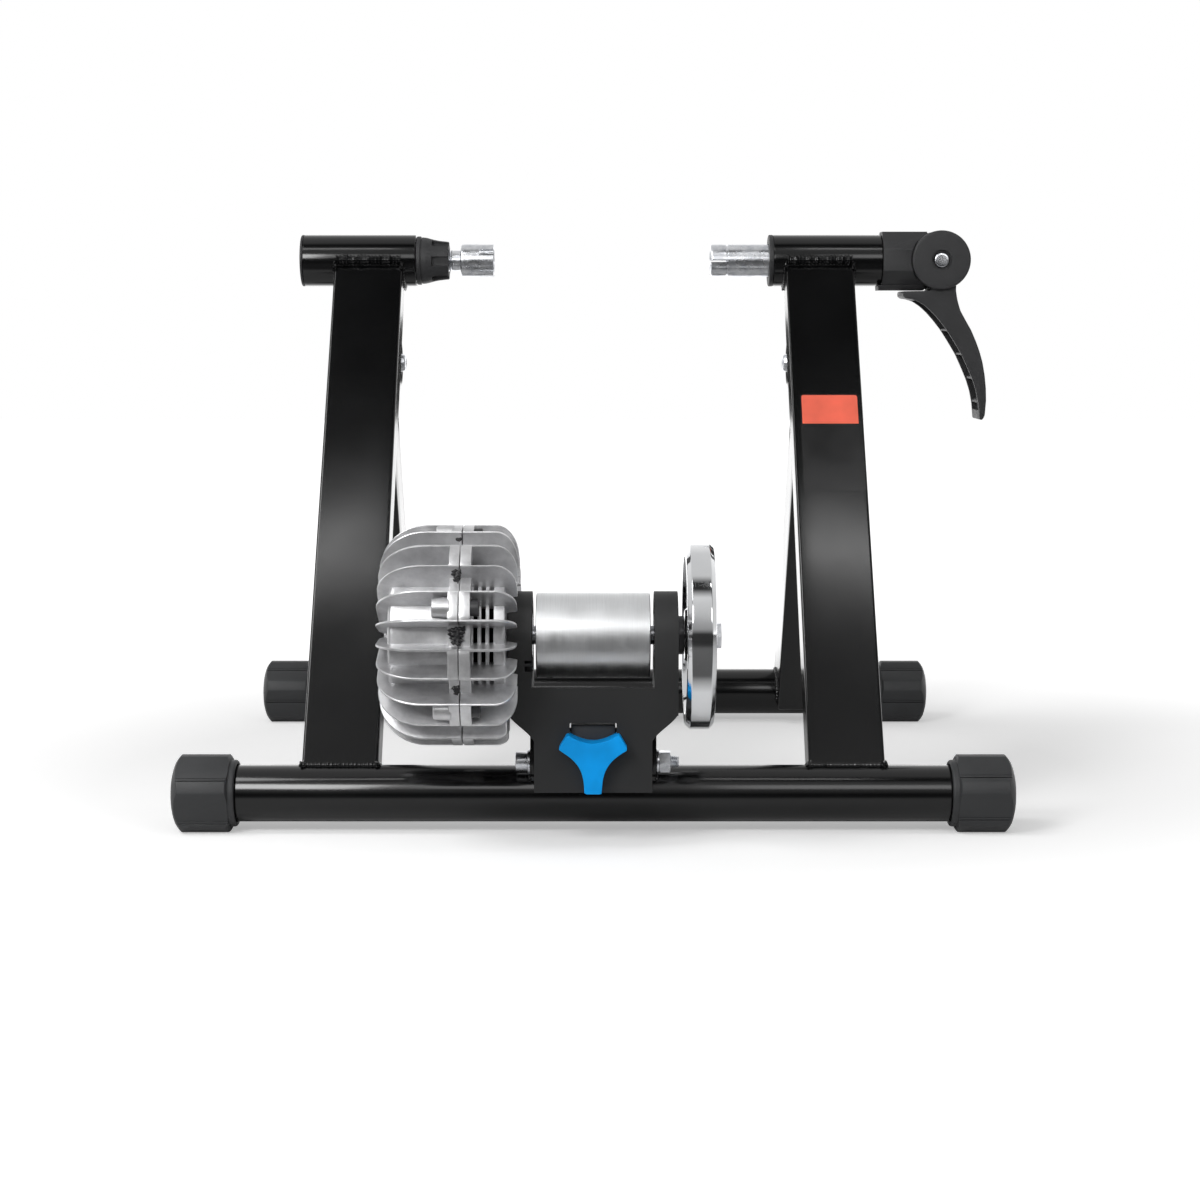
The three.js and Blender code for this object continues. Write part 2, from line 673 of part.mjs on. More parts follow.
// Welded U bracket: two cheeks that carry the pivot bolt and a back plate for the stud
function rollerBracket() {
  const ear = arc(pivotSetback, pivotHeight, rollerBracketEar, 180, 270, cornerSteps);
  const outline = [
    [pivotSetback - rollerBracketEar, rollerBracketTop], ...ear,
    [pivotSetback, rollerBracketBottom], [rollerBracketBack, rollerBracketBottom],
    [rollerBracketBack, rollerBracketTop],
  ];
  const gap = block(-bracketInner, bracketInner, pivotSetback - rollerBracketEar - cutOverrun,
    backPlateFront, rollerBracketBottom - cutOverrun, rollerBracketTop + cutOverrun);
  const tube = rod(baseTubeRadius + seatGap, -bracketOuter - cutOverrun, bracketOuter + cutOverrun);
  const bolt = rod(pivotBoltRadius + turnGap, -bracketOuter - cutOverrun, bracketOuter + cutOverrun, smallSteps);
  const studHole = rodY(studRadius + turnGap, 0, knobHeight, backPlateFront - cutOverrun,
    rollerBracketBack + cutOverrun, smallSteps);
  const cuts = [gap, tube.translate([0, 0, baseHeight]),
    bolt.translate([0, pivotSetback, pivotHeight]), studHole];
  piece('roller_bracket', without(prismX(outline, -bracketOuter, bracketOuter), cuts), paint, stand);
}

function rollerYoke() {
  const back = rollerSetback + armRadius;
  const armOutline = [
    ...arc(rollerSetback, rollerHeight, armRadius, 180, 0, cornerSteps * 3),
    [back, plateShoulderTop], [plateFront, plateShoulderTop], [rollerSetback - armRadius, plateTop],
  ];
  const wide = armOuter;
  const slim = lowerHalfWidth;
  const plateOutline = [
    [-wide, plateTop], [-wide, plateShoulderTop], [-slim, plateShoulderBottom], [-slim, plateBottom],
    [slim, plateBottom], [slim, plateShoulderBottom], [wide, plateShoulderTop], [wide, plateTop],
  ];
  const plateBack = plateFront + plateThickness;
  const flangeOutline = [
    [plateFront, plateBottom], [plateBack + pivotEarRadius, plateBottom],
    ...arc(pivotSetback, pivotHeight, pivotEarRadius, -90, 90, cornerSteps * 2),
    [back, plateShoulderBottom], [back, plateShoulderTop], [plateFront, plateShoulderTop],
  ];
  const flange = (from, to) => prismX(flangeOutline, from, to);
  const whole = joined([
    prismX(armOutline, armInner, wide),
    prismX(armOutline, -wide, -armInner),
    prismY(plateOutline, plateFront, plateBack),
    flange(slim - flangeThickness, slim),
    flange(-slim, -slim + flangeThickness),
    block(-wide, wide, plateFront, back, plateShoulderTop, plateShoulderTop + plateThickness),
  ]);
  const reach = wide + cutOverrun;
  const bearingRoom = armInner + bearingWidth + seatGap;
  const windowHalf = blockWidth / 2 + seatGap;
  const windowMiddle = knobHeight + blockRise;
  const windowRise = blockHeight / 2 + seatGap;
  const cuts = [
    rod(journalRadius + turnGap, -reach, reach).translate([0, rollerSetback, rollerHeight]),
    rod(bearingRadius + seatGap, armInner - cutOverrun, bearingRoom)
      .translate([0, rollerSetback, rollerHeight]),
    rod(bearingRadius + seatGap, -bearingRoom, -armInner + cutOverrun)
      .translate([0, rollerSetback, rollerHeight]),
    rod(pivotBoltRadius + turnGap, -reach, reach, smallSteps).translate([0, pivotSetback, pivotHeight]),
    block(-windowHalf, windowHalf, plateFront - cutOverrun, plateFront + blockDepth + seatGap,
      windowMiddle - windowRise, windowMiddle + windowRise + windowSlack),
  ];
  piece('roller_yoke', without(whole, cuts), paint, stand);
}

function pivotHardware() {
  const face = bracketOuter + seatGap;
  const headNear = face + washerThickness + seatGap;
  const nutNear = headNear;
  const bolt = joined([
    rod(pivotHeadRadius, -headNear - pivotHeadLength, -headNear, smallSteps),
    rod(pivotBoltRadius, -headNear - pivotHeadLength / 2, nutNear + pivotNutLength + pivotThreadPast, smallSteps),
  ]);
  piece('pivot_bolt', bolt, zinc, pivotLine);
  const bore = pivotBoltRadius + turnGap;
  for (const [word, side] of [['left', -1], ['right', 1]]) {
    const [from, to] = stretch(side, face, face + washerThickness);
    piece(`${word}_pivot_washer`, ring(bore, washerRadius, from, to, smallSteps), zinc, pivotLine);
  }
  const nut = hexX(pivotNutRadius, nutNear, nutNear + pivotNutLength);
  const hole = rod(bore, nutNear - cutOverrun, nutNear + pivotNutLength + cutOverrun, smallSteps);
  piece('pivot_nut', without(nut, [hole]), zinc, pivotLine);
}

// Three lobes, one of them down, with hollow flanks between them
function knobOutline() {
  const points = [];
  const pitch = 360 / knobLobes;
  for (let lobe = 0; lobe < knobLobes; lobe += 1) {
    const middle = downDegrees + lobe * pitch;
    const tip = THREE.MathUtils.radToDeg(Math.atan2(knobLobeHalfWidth, knobLobeReach));
    for (const [radius, turn] of [[knobLobeReach, -tip], [knobLobeReach, tip],
      [knobFlank, pitch / 2 - knobFlankDegrees], [knobWaist, pitch / 2],
      [knobFlank, pitch / 2 + knobFlankDegrees]]) {
      const angle = THREE.MathUtils.degToRad(middle + turn);
      points.push([radius * Math.cos(angle), knobHeight + radius * Math.sin(angle)]);
    }
  }
  return points;
}

function tensionKnob() {
  const back = plateFront - knobStandOff;
  const knob = prismY(knobOutline(), back - knobThickness, back);
  const bore = rodY(studRadius + seatGap, 0, knobHeight, back - knobThickness / 2, back + cutOverrun, smallSteps);
  piece('tension_knob', without(knob, [bore]), blue, stand);
  const nutFrom = rollerBracketBack + seatGap;
  const nutTo = nutFrom + studNutLength;
  const stud = rodY(studRadius, 0, knobHeight, back - knobThickness / 2 + seatGap, nutTo + studPast, smallSteps);
  piece('knob_stud', stud, zinc, stand);
  const nutHole = rodY(studRadius + turnGap, 0, knobHeight, nutFrom - cutOverrun, nutTo + cutOverrun, smallSteps);
  piece('stud_nut', without(hexY(studNutRadius, 0, knobHeight, nutFrom, nutTo), [nutHole]), zinc, stand);
  const half = blockWidth / 2;
  const middle = knobHeight + blockRise;
  const rise = blockHeight / 2;
  const body = block(-half, half, plateFront, plateFront + blockDepth, middle - rise, middle + rise);
  const hole = rodY(studRadius + studHoleGap, 0, knobHeight, plateFront - cutOverrun,
    plateFront + blockDepth + cutOverrun, smallSteps);
  piece('thrust_block', without(body, [hole]), nylon, stand);
}

function rollerAndShaft() {
  const bore = shaftRadius + seatGap;
  const half = rollerHalfLength;
  piece('roller', turned([
    [bore, -half], [journalRadius, -half], [rollerRadius - rollerEdge, -half],
    [rollerRadius, -half + rollerEdge], [rollerRadius, half - rollerEdge],
    [rollerRadius - rollerEdge, half], [bore, half], [bore, -half],
  ], largeSteps), machined, rollerLine);
  const shaftFrom = coreLeft + coreWall + impellerFromEnd - seatGap;
  const shaftTo = flywheelFrom + flywheelWidth + shaftNutLength;
  piece('roller_shaft', rod(shaftRadius, shaftFrom, shaftTo, smallSteps), zinc, rollerLine);
  for (const [word, side] of [['left', -1], ['right', 1]]) {
    const [from, to] = stretch(side, armInner, armInner + bearingWidth);
    piece(`${word}_bearing`, ring(bore, bearingRadius, from, to), zinc, rollerLine);
  }
}

function flywheelSet() {
  const bore = shaftRadius + seatGap;
  const from = flywheelFrom;
  const to = from + flywheelWidth;
  const rim = flywheelRadius - flywheelRim;
  piece('flywheel', turned([
    [bore, from], [flywheelHub, from], [flywheelHub, from + flywheelDish], [rim, from + flywheelDish],
    [rim, from], [flywheelRadius - flywheelChamfer, from], [flywheelRadius, from + flywheelChamfer],
    [flywheelRadius, to - flywheelChamfer], [flywheelRadius - flywheelChamfer, to], [rim, to],
    [rim, to - flywheelDish], [flywheelHub, to - flywheelDish], [flywheelHub, to], [bore, to], [bore, from],
  ], largeSteps), chrome, rollerLine);
  piece('flywheel_spacer', ring(bore, journalRadius - seatGap, armInner + bearingWidth + seatGap,
    from - seatGap, smallSteps), zinc, rollerLine);
  const nut = hexX(shaftNutRadius, to + seatGap, to + seatGap + shaftNutLength);
  const hole = rod(bore, to - cutOverrun, to + shaftNutLength + cutOverrun, smallSteps);
  piece('flywheel_nut', without(nut, [hole]), zinc, rollerLine);
}

// One fin is a flat plate in the plane of the shaft; the outline is a list of [x, radius]
function fins(outline) {
  const plates = [];
  for (let i = 0; i < finCount; i += 1) {
    const plate = prismY(outline, -finThickness / 2, finThickness / 2);
    plates.push(plate.rotate([i * 360 / finCount, 0, 0]));
  }
  return joined(plates);
}

function quarterEllipse(centreX, centreR, a, b, fromDegrees, toDegrees) {
  return arc(0, 0, 1, fromDegrees, toDegrees, cornerSteps)
    .map(([u, v]) => [centreX + a * u, centreR + b * v]);
}

// Raised blocks of the flange, one between every second pair of fins
function flangeBlocks(from, to) {
  const blocks = [];
  const half = 180 / finCount;
  for (let i = 0; i < finCount; i += 2) {
    const middle = (i + 0.5) * 360 / finCount;
    const outline = [
      ...arc(0, 0, coreRadius - finEmbed, middle - half, middle + half, 1),
      ...arc(0, 0, finRadius, middle + half, middle - half, 2),
    ];
    blocks.push(prismX(outline, from, to));
  }
  return joined(blocks);
}

// One body for each screw, on the screw circle
function atScrews(body) {
  const copies = [];
  for (let i = 0; i < screwCount; i += 1) {
    const angle = THREE.MathUtils.degToRad(screwFirstAngle + i * 360 / screwCount);
    copies.push(body.translate([0, screwCircle * Math.cos(angle), screwCircle * Math.sin(angle)]));
  }
  return copies;
}

function housingCup() {
  const inner = coreRadius - coreWall;
  const profile = [
    [0, coreLeft - hubCapReach], [hubCapRadius, coreLeft - hubCapReach], [hubCapRadius, coreLeft],
    [coreRadius, coreLeft], [coreRadius, flangeLeft], [flangeLowRadius, flangeLeft],
    [flangeLowRadius, splitLeft], [inner + gasketWidth, splitLeft],
    [inner + gasketWidth, splitLeft - gasketThickness], [inner, splitLeft - gasketThickness],
    [inner, coreLeft + coreWall], [0, coreLeft + coreWall],
  ];
  const outline = [
    [splitLeft, coreRadius - finEmbed], [splitLeft, finRadius],
    ...quarterEllipse(finLeft + finLeftCorner, finRadius - finLeftDrop, finLeftCorner, finLeftDrop, 90, 180),
    [finLeft, hubFinRadius + hubCapReach], [coreLeft - hubCapReach, hubFinRadius],
    [coreLeft + coreWall / 2, hubFinRadius], [coreLeft + coreWall / 2, coreRadius - finEmbed],
  ];
  const boss = rod(bossRadius, flangeLeft - bossLength, flangeLeft + cutOverrun, screwSteps);
  const hole = rod(screwRadius + seatGap, flangeLeft - bossLength + cutOverrun, splitLeft + cutOverrun,
    screwSteps);
  const whole = joined([turned(profile, largeSteps), fins(outline), flangeBlocks(flangeLeft, splitLeft),
    ...atScrews(boss)]);
  piece('fluid_housing', without(whole, atScrews(hole)), castAluminium, rollerLine);
}

// Vented cover: the rings between the vents are joined by the fins
function housingCover() {
  const inner = coreRadius - coreWall;
  const bore = shaftRadius + turnGap;
  const wallEnd = splitRight + coverWall;
  const armFace = -armOuter - seatGap;
  const lastVent = ventFirst + ventPitch * (ventCount - 1);
  const endFrom = lastVent + ventWidth;
  const endTo = endFrom + endWallThickness;
  const rings = [
    turned([
      [bore, splitRight], [flangeLowRadius, splitRight], [flangeLowRadius, flangeRight],
      [coreRadius, flangeRight], [coreRadius, ventFirst], [inner, ventFirst], [inner, wallEnd],
      [bore, wallEnd], [bore, splitRight],
    ], largeSteps),
    turned([
      [journalRadius, endFrom], [coreRadius, endFrom], [coreRadius, endTo], [endBossRadius, endTo],
      [endBossRadius, armFace], [journalRadius, armFace], [journalRadius, endFrom],
    ], largeSteps),
  ];
  for (let i = 0; i < ventCount - 1; i += 1) {
    const from = ventFirst + i * ventPitch + ventWidth;
    rings.push(ring(inner, coreRadius, from, ventFirst + (i + 1) * ventPitch, largeSteps));
  }
  const outline = [
    [splitRight, inner + seatGap], [endFrom, inner + seatGap], [endFrom, finInnerRight],
    [finRight, finInnerRight],
    ...quarterEllipse(finRight - finRightCorner, finRadius - finRightDrop, finRightCorner, finRightDrop, 0, 90),
    [splitRight, finRadius],
  ];
  const armRoom = block(armFace, finRight + cutOverrun, -armRadius - seatGap * 2, armRadius + seatGap * 2,
    -finRadius - cutOverrun, 0);
  const hole = rod(screwRadius + seatGap, splitRight - cutOverrun, flangeRight + cutOverrun, screwSteps);
  const whole = joined([...rings, fins(outline), flangeBlocks(splitRight, flangeRight)]);
  piece('housing_cover', without(whole, [armRoom, ...atScrews(hole)]), castAluminium, rollerLine);
}

function housingInside() {
  const inner = coreRadius - coreWall;
  piece('housing_gasket', ring(inner + seatGap, inner + gasketWidth - seatGap,
    splitLeft - gasketThickness + seatGap, splitLeft, largeSteps), rubber, rollerLine);
  const bore = shaftRadius + seatGap;
  const from = coreLeft + coreWall + impellerFromEnd;
  const disc = turned([
    [bore, from], [impellerHubRadius, from], [impellerRadius, from], [impellerRadius, from + impellerDisc],
    [impellerHubRadius, from + impellerDisc], [impellerHubRadius, from + impellerWidth],
    [bore, from + impellerWidth], [bore, from],
  ]);
  const blades = [];
  for (let i = 0; i < impellerBlades; i += 1) {
    const blade = block(from + impellerDisc / 2, from + impellerWidth, impellerHubRadius - cutOverrun,
      impellerRadius, -impellerBladeThickness / 2, impellerBladeThickness / 2);
    blades.push(blade.rotate([i * 360 / impellerBlades, 0, 0]));
  }
  piece('impeller', joined([disc, ...blades]), castAluminium, rollerLine);
}

function housingScrews() {
  const from = flangeRight + seatGap;
  const shankFrom = flangeLeft - bossLength + cutOverrun + seatGap;
  const screw = joined([
    rod(screwHeadRadius, from, from + screwHeadLength, screwSteps),
    rod(screwRadius, shankFrom, from + screwHeadLength / 2, screwSteps),
  ]);
  atScrews(screw).forEach((body, i) => piece(`housing_screw_${i + 1}`, body, zinc, rollerLine));
}

baseTube('front_base_tube', 0);
baseTube('rear_base_tube', baseSpread);
for (const [word, side] of [['left', -1], ['right', 1]]) {
  foot(`front_${word}_foot`, side, 0);
  foot(`rear_${word}_foot`, side, baseSpread);
  upright(`${word}_upright`, side);
  hingeBracket(`${word}_hinge_bracket`, side);
  hingeHardware(side, word);
  rearLeg(`${word}_rear_leg`, side);
}
leftHolder();
rightHolder();
rollerBracket();
rollerYoke();
pivotHardware();
tensionKnob();
rollerAndShaft();
flywheelSet();
housingCup();
housingCover();
housingInside();
housingScrews();

// The origin is the middle of the stand's box, on the floor
stand.updateMatrixWorld(true);
const box = new THREE.Box3().setFromObject(stand);
stand.position.set(-(box.min.x + box.max.x) / 2, -(box.min.y + box.max.y) / 2, -box.min.z);

export default stand;
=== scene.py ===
import json
import math

import bpy
import bmesh
from mathutils import Matrix, Vector


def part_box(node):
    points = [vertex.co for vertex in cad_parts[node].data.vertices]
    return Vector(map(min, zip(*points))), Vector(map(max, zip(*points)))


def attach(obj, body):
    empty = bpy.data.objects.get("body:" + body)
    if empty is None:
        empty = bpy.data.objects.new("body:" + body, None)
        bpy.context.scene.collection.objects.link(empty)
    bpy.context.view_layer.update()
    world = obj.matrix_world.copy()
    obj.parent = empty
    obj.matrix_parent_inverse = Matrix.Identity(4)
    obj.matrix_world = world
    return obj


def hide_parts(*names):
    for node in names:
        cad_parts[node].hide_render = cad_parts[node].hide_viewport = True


for spare in ("Cube", "Camera", "Light"):
    if spare in bpy.data.objects:
        bpy.data.objects.remove(bpy.data.objects[spare])
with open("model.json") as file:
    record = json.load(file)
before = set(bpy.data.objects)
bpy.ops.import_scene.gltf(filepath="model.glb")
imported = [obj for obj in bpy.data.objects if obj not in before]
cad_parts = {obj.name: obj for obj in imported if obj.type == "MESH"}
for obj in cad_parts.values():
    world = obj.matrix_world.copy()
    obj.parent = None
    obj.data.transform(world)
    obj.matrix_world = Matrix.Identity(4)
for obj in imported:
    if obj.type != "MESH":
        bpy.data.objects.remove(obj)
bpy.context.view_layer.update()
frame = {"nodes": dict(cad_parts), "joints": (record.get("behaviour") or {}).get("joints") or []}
scene = bpy.context.scene
mm = 0.001  # pieces are drawn in millimetres in the row frame, then stored in metres


# Places read from the frame, in millimetres
def boxOf(node):
    low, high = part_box(node)
    return low / mm, high / mm


def middleOf(node):
    low, high = boxOf(node)
    return (low + high) / 2


def radiusOf(node):
    low, high = boxOf(node)
    return (high.z - low.z) / 2


def jointAt(name):
    found = next(j for j in frame["joints"] if j["name"] == name)
    return Vector(found["pos_m"]) / mm


def placed(y, z, angle, x=0, axis="X"):
    return Matrix.Translation((x, y, z)) @ Matrix.Rotation(angle, 4, axis)


frontTube, rearTube = middleOf("front_base_tube"), middleOf("rear_base_tube")
axleLine, hubLine, rollerLine = jointAt("collar_turn"), jointAt("lever_open"), jointAt("roller_spin")
pivotLine, foldLine, knobLine = jointAt("roller_tilt"), jointAt("rear_frame_fold"), jointAt("knob_turn")
tubeRadius, holderRadius = radiusOf("front_base_tube"), radiusOf("left_axle_tube")
lean = math.atan2(axleLine.y - frontTube.y, axleLine.z - frontTube.z)
rearLean = math.atan2(rearTube.y - foldLine.y, foldLine.z - rearTube.z)
uprightLength = math.hypot(axleLine.y - frontTube.y, axleLine.z - frontTube.z)
rearLegLength = math.hypot(rearTube.y - foldLine.y, foldLine.z - rearTube.z)
uprightFrame = placed(frontTube.y, frontTube.z, -lean)
rearFrame = placed(foldLine.y, foldLine.z, rearLean)
print("frame read")


# Shader and geometry maths
class Wire:
    def __init__(self, tree, socket):
        self.tree = tree
        self.socket = socket

    def maths(self, operation, other=None, flipped=False):
        node = self.tree.nodes.new("ShaderNodeMath")
        node.operation = operation
        parts = (other, self) if flipped else (self, other)
        for place, part in zip(node.inputs, parts):
            if part is not None:
                plug(self.tree, place, part)
        return Wire(self.tree, node.outputs[0])

    def __add__(self, other):
        return self.maths("ADD", other)

    def __radd__(self, other):
        return self.maths("ADD", other, True)

    def __sub__(self, other):
        return self.maths("SUBTRACT", other)

    def __rsub__(self, other):
        return self.maths("SUBTRACT", other, True)

    def __mul__(self, other):
        return self.maths("MULTIPLY", other)

    def __truediv__(self, other):
        return self.maths("DIVIDE", other)

    def __pow__(self, other):
        return self.maths("POWER", other)


def plug(tree, place, value):
    if isinstance(value, Wire):
        tree.links.new(value.socket, place)
    else:
        place.default_value = value


class Graph:
    # a node tree; stops are the (place, level) pairs of a grey colour ramp
    def __init__(self, tree):
        self.tree = tree

    def make(self, kind, settings=None, values=None, output=0):
        node = self.tree.nodes.new(kind)
        for key, value in (settings or {}).items():
            if key == "stops":
                elements = node.color_ramp.elements
                while len(elements) < len(value):
                    elements.new(0.5)
                for element, (place, level) in zip(elements, value):
                    element.position = place
                    element.color = (level, level, level, 1)
            else:
                setattr(node, key, value)
        for key, value in (values or {}).items():
            plug(self.tree, node.inputs[key], value)
        return Wire(self.tree, node.outputs[output])

    def ramp(self, wire, start, end, low, high):
        return self.make("ShaderNodeMapRange", {"clamp": True}, {
            "Value": wire, "From Min": start, "From Max": end, "To Min": low, "To Max": high})

    def axes(self, kind, output):
        parts = self.tree.nodes.new("ShaderNodeSeparateXYZ")
        plug(self.tree, parts.inputs[0], self.make(kind, output=output))
        return [Wire(self.tree, socket) for socket in parts.outputs]

    def rays(self, *kinds):
        return [self.make("ShaderNodeLightPath", output=f"Is {kind} Ray") for kind in kinds]


class Finish(Graph):
    # one material: the wires made here end in its Principled shader
    def __init__(self, name):
        self.material = bpy.data.materials.new(name)
        self.material.use_nodes = True
        super().__init__(self.material.node_tree)

    def noise(self, scale, detail=2, roughness=0.5, stretch=None):
        where = self.make("ShaderNodeTexCoord", output="Object")
        if stretch:
            where = self.make("ShaderNodeMapping", values={"Vector": where, "Scale": stretch})
        return self.make("ShaderNodeTexNoise", values={
            "Vector": where, "Scale": scale, "Detail": detail, "Roughness": roughness})

    def spread(self, noise, low, high):
        return self.ramp(noise, 0.3, 0.7, low, high)

    def mix(self, amount, *colours):
        first, second = [c if isinstance(c, Wire) else (*c, 1) for c in colours]
        return self.make("ShaderNodeMix", {"data_type": "RGBA"}, {0: amount, 6: first, 7: second}, 2)

    def tinted(self, noise, first, second):
        return self.mix(self.spread(noise, 0, 1), first, second)

    def bump(self, height, strength, distance):
        return self.make("ShaderNodeBump", values={
            "Height": height, "Strength": strength, "Distance": distance})

    def ends(self, **sockets):
        shader = self.tree.nodes["Principled BSDF"]
        for key, value in sockets.items():
            plug(self.tree, shader.inputs[key.replace("_", " ")], value)
        return self.material


def powderCoat(name, tone, roughness):
    look = Finish(name)
    cloud = look.noise(14, 4)
    return look.ends(Base_Color=look.tinted(cloud, tone, [t * 1.35 for t in tone]),
                     Roughness=look.spread(cloud, roughness - 0.02, roughness + 0.03),
                     Normal=look.bump(look.noise(900, 3), 0.08, 0.0001))


def mouldedPlastic(name, tone, roughness, grain, depth, shine=0.5):
    look = Finish(name)
    cloud = look.noise(40, 3)
    return look.ends(Base_Color=look.tinted(cloud, tone, [t * 1.3 for t in tone]),
                     Roughness=look.spread(cloud, roughness - 0.05, roughness + 0.05),
                     Specular_IOR_Level=shine, Normal=look.bump(look.noise(grain, 2, 0.6), 0.5, depth))


def zincPlate():
    look = Finish("zincPlate")
    spangle = look.noise(170, 4, 0.6)
    return look.ends(Base_Color=look.tinted(spangle, (0.62, 0.64, 0.68), (0.93, 0.94, 0.96)), Metallic=1.0,
                     Roughness=look.spread(look.noise(70, 3), 0.2, 0.4), Normal=look.bump(spangle, 0.07, 0.0001))


def castAlloy():
    look = Finish("castAlloy")
    cloud, stain = look.noise(90, 4, 0.6), look.noise(22, 5, 0.6)
    base = look.tinted(cloud, (0.62, 0.62, 0.63), (0.88, 0.88, 0.89))
    return look.ends(Base_Color=look.mix(look.spread(stain, 0, 0.45), base, (0.3, 0.3, 0.31)), Metallic=0.8,
                     Roughness=look.spread(cloud, 0.32, 0.44),
                     Normal=look.bump(look.noise(1100, 3, 0.6), 0.35, 0.0002))


def turnedAlloy():
    look = Finish("turnedAlloy")
    tone = (0.84, 0.85, 0.86)
    lines = look.noise(1, 3, 0.7, (5200, 40, 40))
    marks = look.noise(120, 4, 0.6, (1, 0.25, 0.25))
    return look.ends(Base_Color=look.tinted(lines, [t * 0.86 for t in tone], tone), Metallic=1.0,
                     Roughness=look.spread(marks, 0.35, 0.48), Normal=look.bump(lines, 0.12, 0.00006))


def chromePlate():
    look = Finish("chromePlate")
    haze = look.noise(35, 4)
    return look.ends(Base_Color=look.tinted(haze, (0.82, 0.83, 0.85), (0.9, 0.91, 0.92)), Metallic=1.0,
                     Roughness=look.spread(haze, 0.05, 0.11))


paint = powderCoat("blackPowderCoat", (0.0022, 0.0023, 0.0025), 0.15)
satinPaint = powderCoat("satinPaint", (0.0105, 0.0106, 0.011), 0.58)
weldPaint = powderCoat("weldPaint", (0.003, 0.0031, 0.0034), 0.1)
rubber = mouldedPlastic("footRubber", (0.023, 0.024, 0.0255), 0.52, 1500, 0.0002)
nylon = mouldedPlastic("blackNylon", (0.022, 0.0222, 0.0235), 0.52, 1900, 0.00025)
zinc = zincPlate()
castFinish = castAlloy()
rollerFinish = turnedAlloy()
chrome = chromePlate()
screwFinish = mouldedPlastic("darkScrew", (0.03, 0.03, 0.032), 0.35, 900, 0.0001)
knobBlue = mouldedPlastic("bluePlastic", (0.0003, 0.25, 0.64), 0.55, 1200, 0.0001, 0.15)
labelBlack = mouldedPlastic("labelBlack", (0.003, 0.003, 0.0033), 0.22, 600, 0.00002)
labelCoral = mouldedPlastic("labelCoral", (0.8, 0.13, 0.075), 0.5, 600, 0.00002)
# near black: painted shade for the dark inside of the vent slots
ventDark = mouldedPlastic("ventDark", (0.0015, 0.0015, 0.0016), 0.8, 300, 0.0001, 0.1)
sealant = mouldedPlastic("blackSealant", (0.006, 0.006, 0.007), 0.3, 300, 0.0004)

print("finishes made")


# Mesh helpers; an object made under its node's name is called the same in camelCase
def newObject(name, points, faces, finish):
    first, *rest = name.split("_")
    name = first + "".join(word.title() for word in rest)
    mesh = bpy.data.meshes.new(name)
    mesh.from_pydata([Vector(p) * mm for p in points], [], faces)
    body = bmesh.new()
    body.from_mesh(mesh)
    bmesh.ops.remove_doubles(body, verts=body.verts, dist=1e-7)
    bmesh.ops.recalc_face_normals(body, faces=body.faces)
    body.to_mesh(mesh)
    body.free()
    mesh.materials.append(finish)
    obj = bpy.data.objects.new(name, mesh)
    scene.collection.objects.link(obj)
    return obj


def bandFaces(rows, steps, closed=False):
    return [(row * steps + i, row * steps + (i + 1) % steps, (row + 1) % rows * steps + (i + 1) % steps,
             (row + 1) % rows * steps + i) for row in range(rows if closed else rows - 1) for i in range(steps)]


def endFaces(rows, steps):
    return [tuple(range(steps)), tuple((rows - 1) * steps + i for i in range(steps))]


# A round body about the line through the centre along X; the profile is a list of (x, radius)
def turned(name, profile, centre, finish, steps=96, closed=False):
    rows = len(profile)
    points = []
    for x, radius in profile:
        for i in range(steps):
            angle = 2 * math.pi * i / steps
            points.append((x, centre.y + radius * math.cos(angle), centre.z + radius * math.sin(angle)))
    faces = bandFaces(rows, steps, closed)
    if not closed:
        faces += [face for face, end in zip(endFaces(rows, steps), (0, -1)) if profile[end][1] > 0]
    return newObject(name, points, faces, finish)


# A prism of an outline: on X the outline is (y, z), on Y it is (x, z), on Z it is (x, y)
def prism(name, outline, axis, low, high, finish):
    count = len(outline)
    order = {"X": lambda u, v, end: (end, u, v), "Y": lambda u, v, end: (u, end, v),
             "Z": lambda u, v, end: (u, v, end)}[axis]
    points = [order(u, v, end) for end in (low, high) for u, v in outline]
    return newObject(name, points, endFaces(2, count) + bandFaces(2, count), finish)


def arcPoints(u, v, radius, start, end, steps):
    return ellipse(u, v, radius, radius, start, end, steps)


def ellipse(u, v, width, height, start, end, steps):
    turn = (end - start) / steps
    return [(u + width * math.cos(math.radians(start + turn * i)),
             v + height * math.sin(math.radians(start + turn * i))) for i in range(steps + 1)]


def line(start, end, steps):
    return [tuple(a + (b - a) * i / steps for a, b in zip(start, end)) for i in range(steps + 1)]


def corners(left, low, right, high):
    return [(left, low), (right, low), (right, high), (left, high)]


# The profile of a ring from its bore outwards, and of a tube from its outside inwards
def ring(low, high, bore, radius):
    return [(low, bore), (low, radius), (high, radius), (high, bore)]


def tube(low, high, radius, wall):
    return [(low, radius), (high, radius), (high, radius - wall), (low, radius - wall)]


# The outline with each corner rounded; radius is one number or one for each corner
def rounded(outline, radius, steps=5):
    count = len(outline)
    radii = radius if isinstance(radius, (list, tuple)) else [radius] * count
    points = []
    for i, corner in enumerate(outline):
        here = Vector(corner)
        before = Vector(outline[i - 1]) - here
        after = Vector(outline[(i + 1) % count]) - here
        reach = min(radii[i], before.length * 0.49, after.length * 0.49)
        if reach < 1e-6:
            points.append(tuple(here))
            continue
        start = here + before.normalized() * reach
        end = here + after.normalized() * reach
        for k in range(steps + 1):
            t = k / steps
            points.append(tuple(start * (1 - t) ** 2 + here * 2 * t * (1 - t) + end * t ** 2))
    return points


# The modifiers become part of the mesh
def settled(obj):
    bpy.context.view_layer.update()
    graph = bpy.context.evaluated_depsgraph_get()
    mesh = bpy.data.meshes.new_from_object(obj.evaluated_get(graph))
    obj.modifiers.clear()
    obj.data = mesh
    mesh.name = obj.name
    return obj


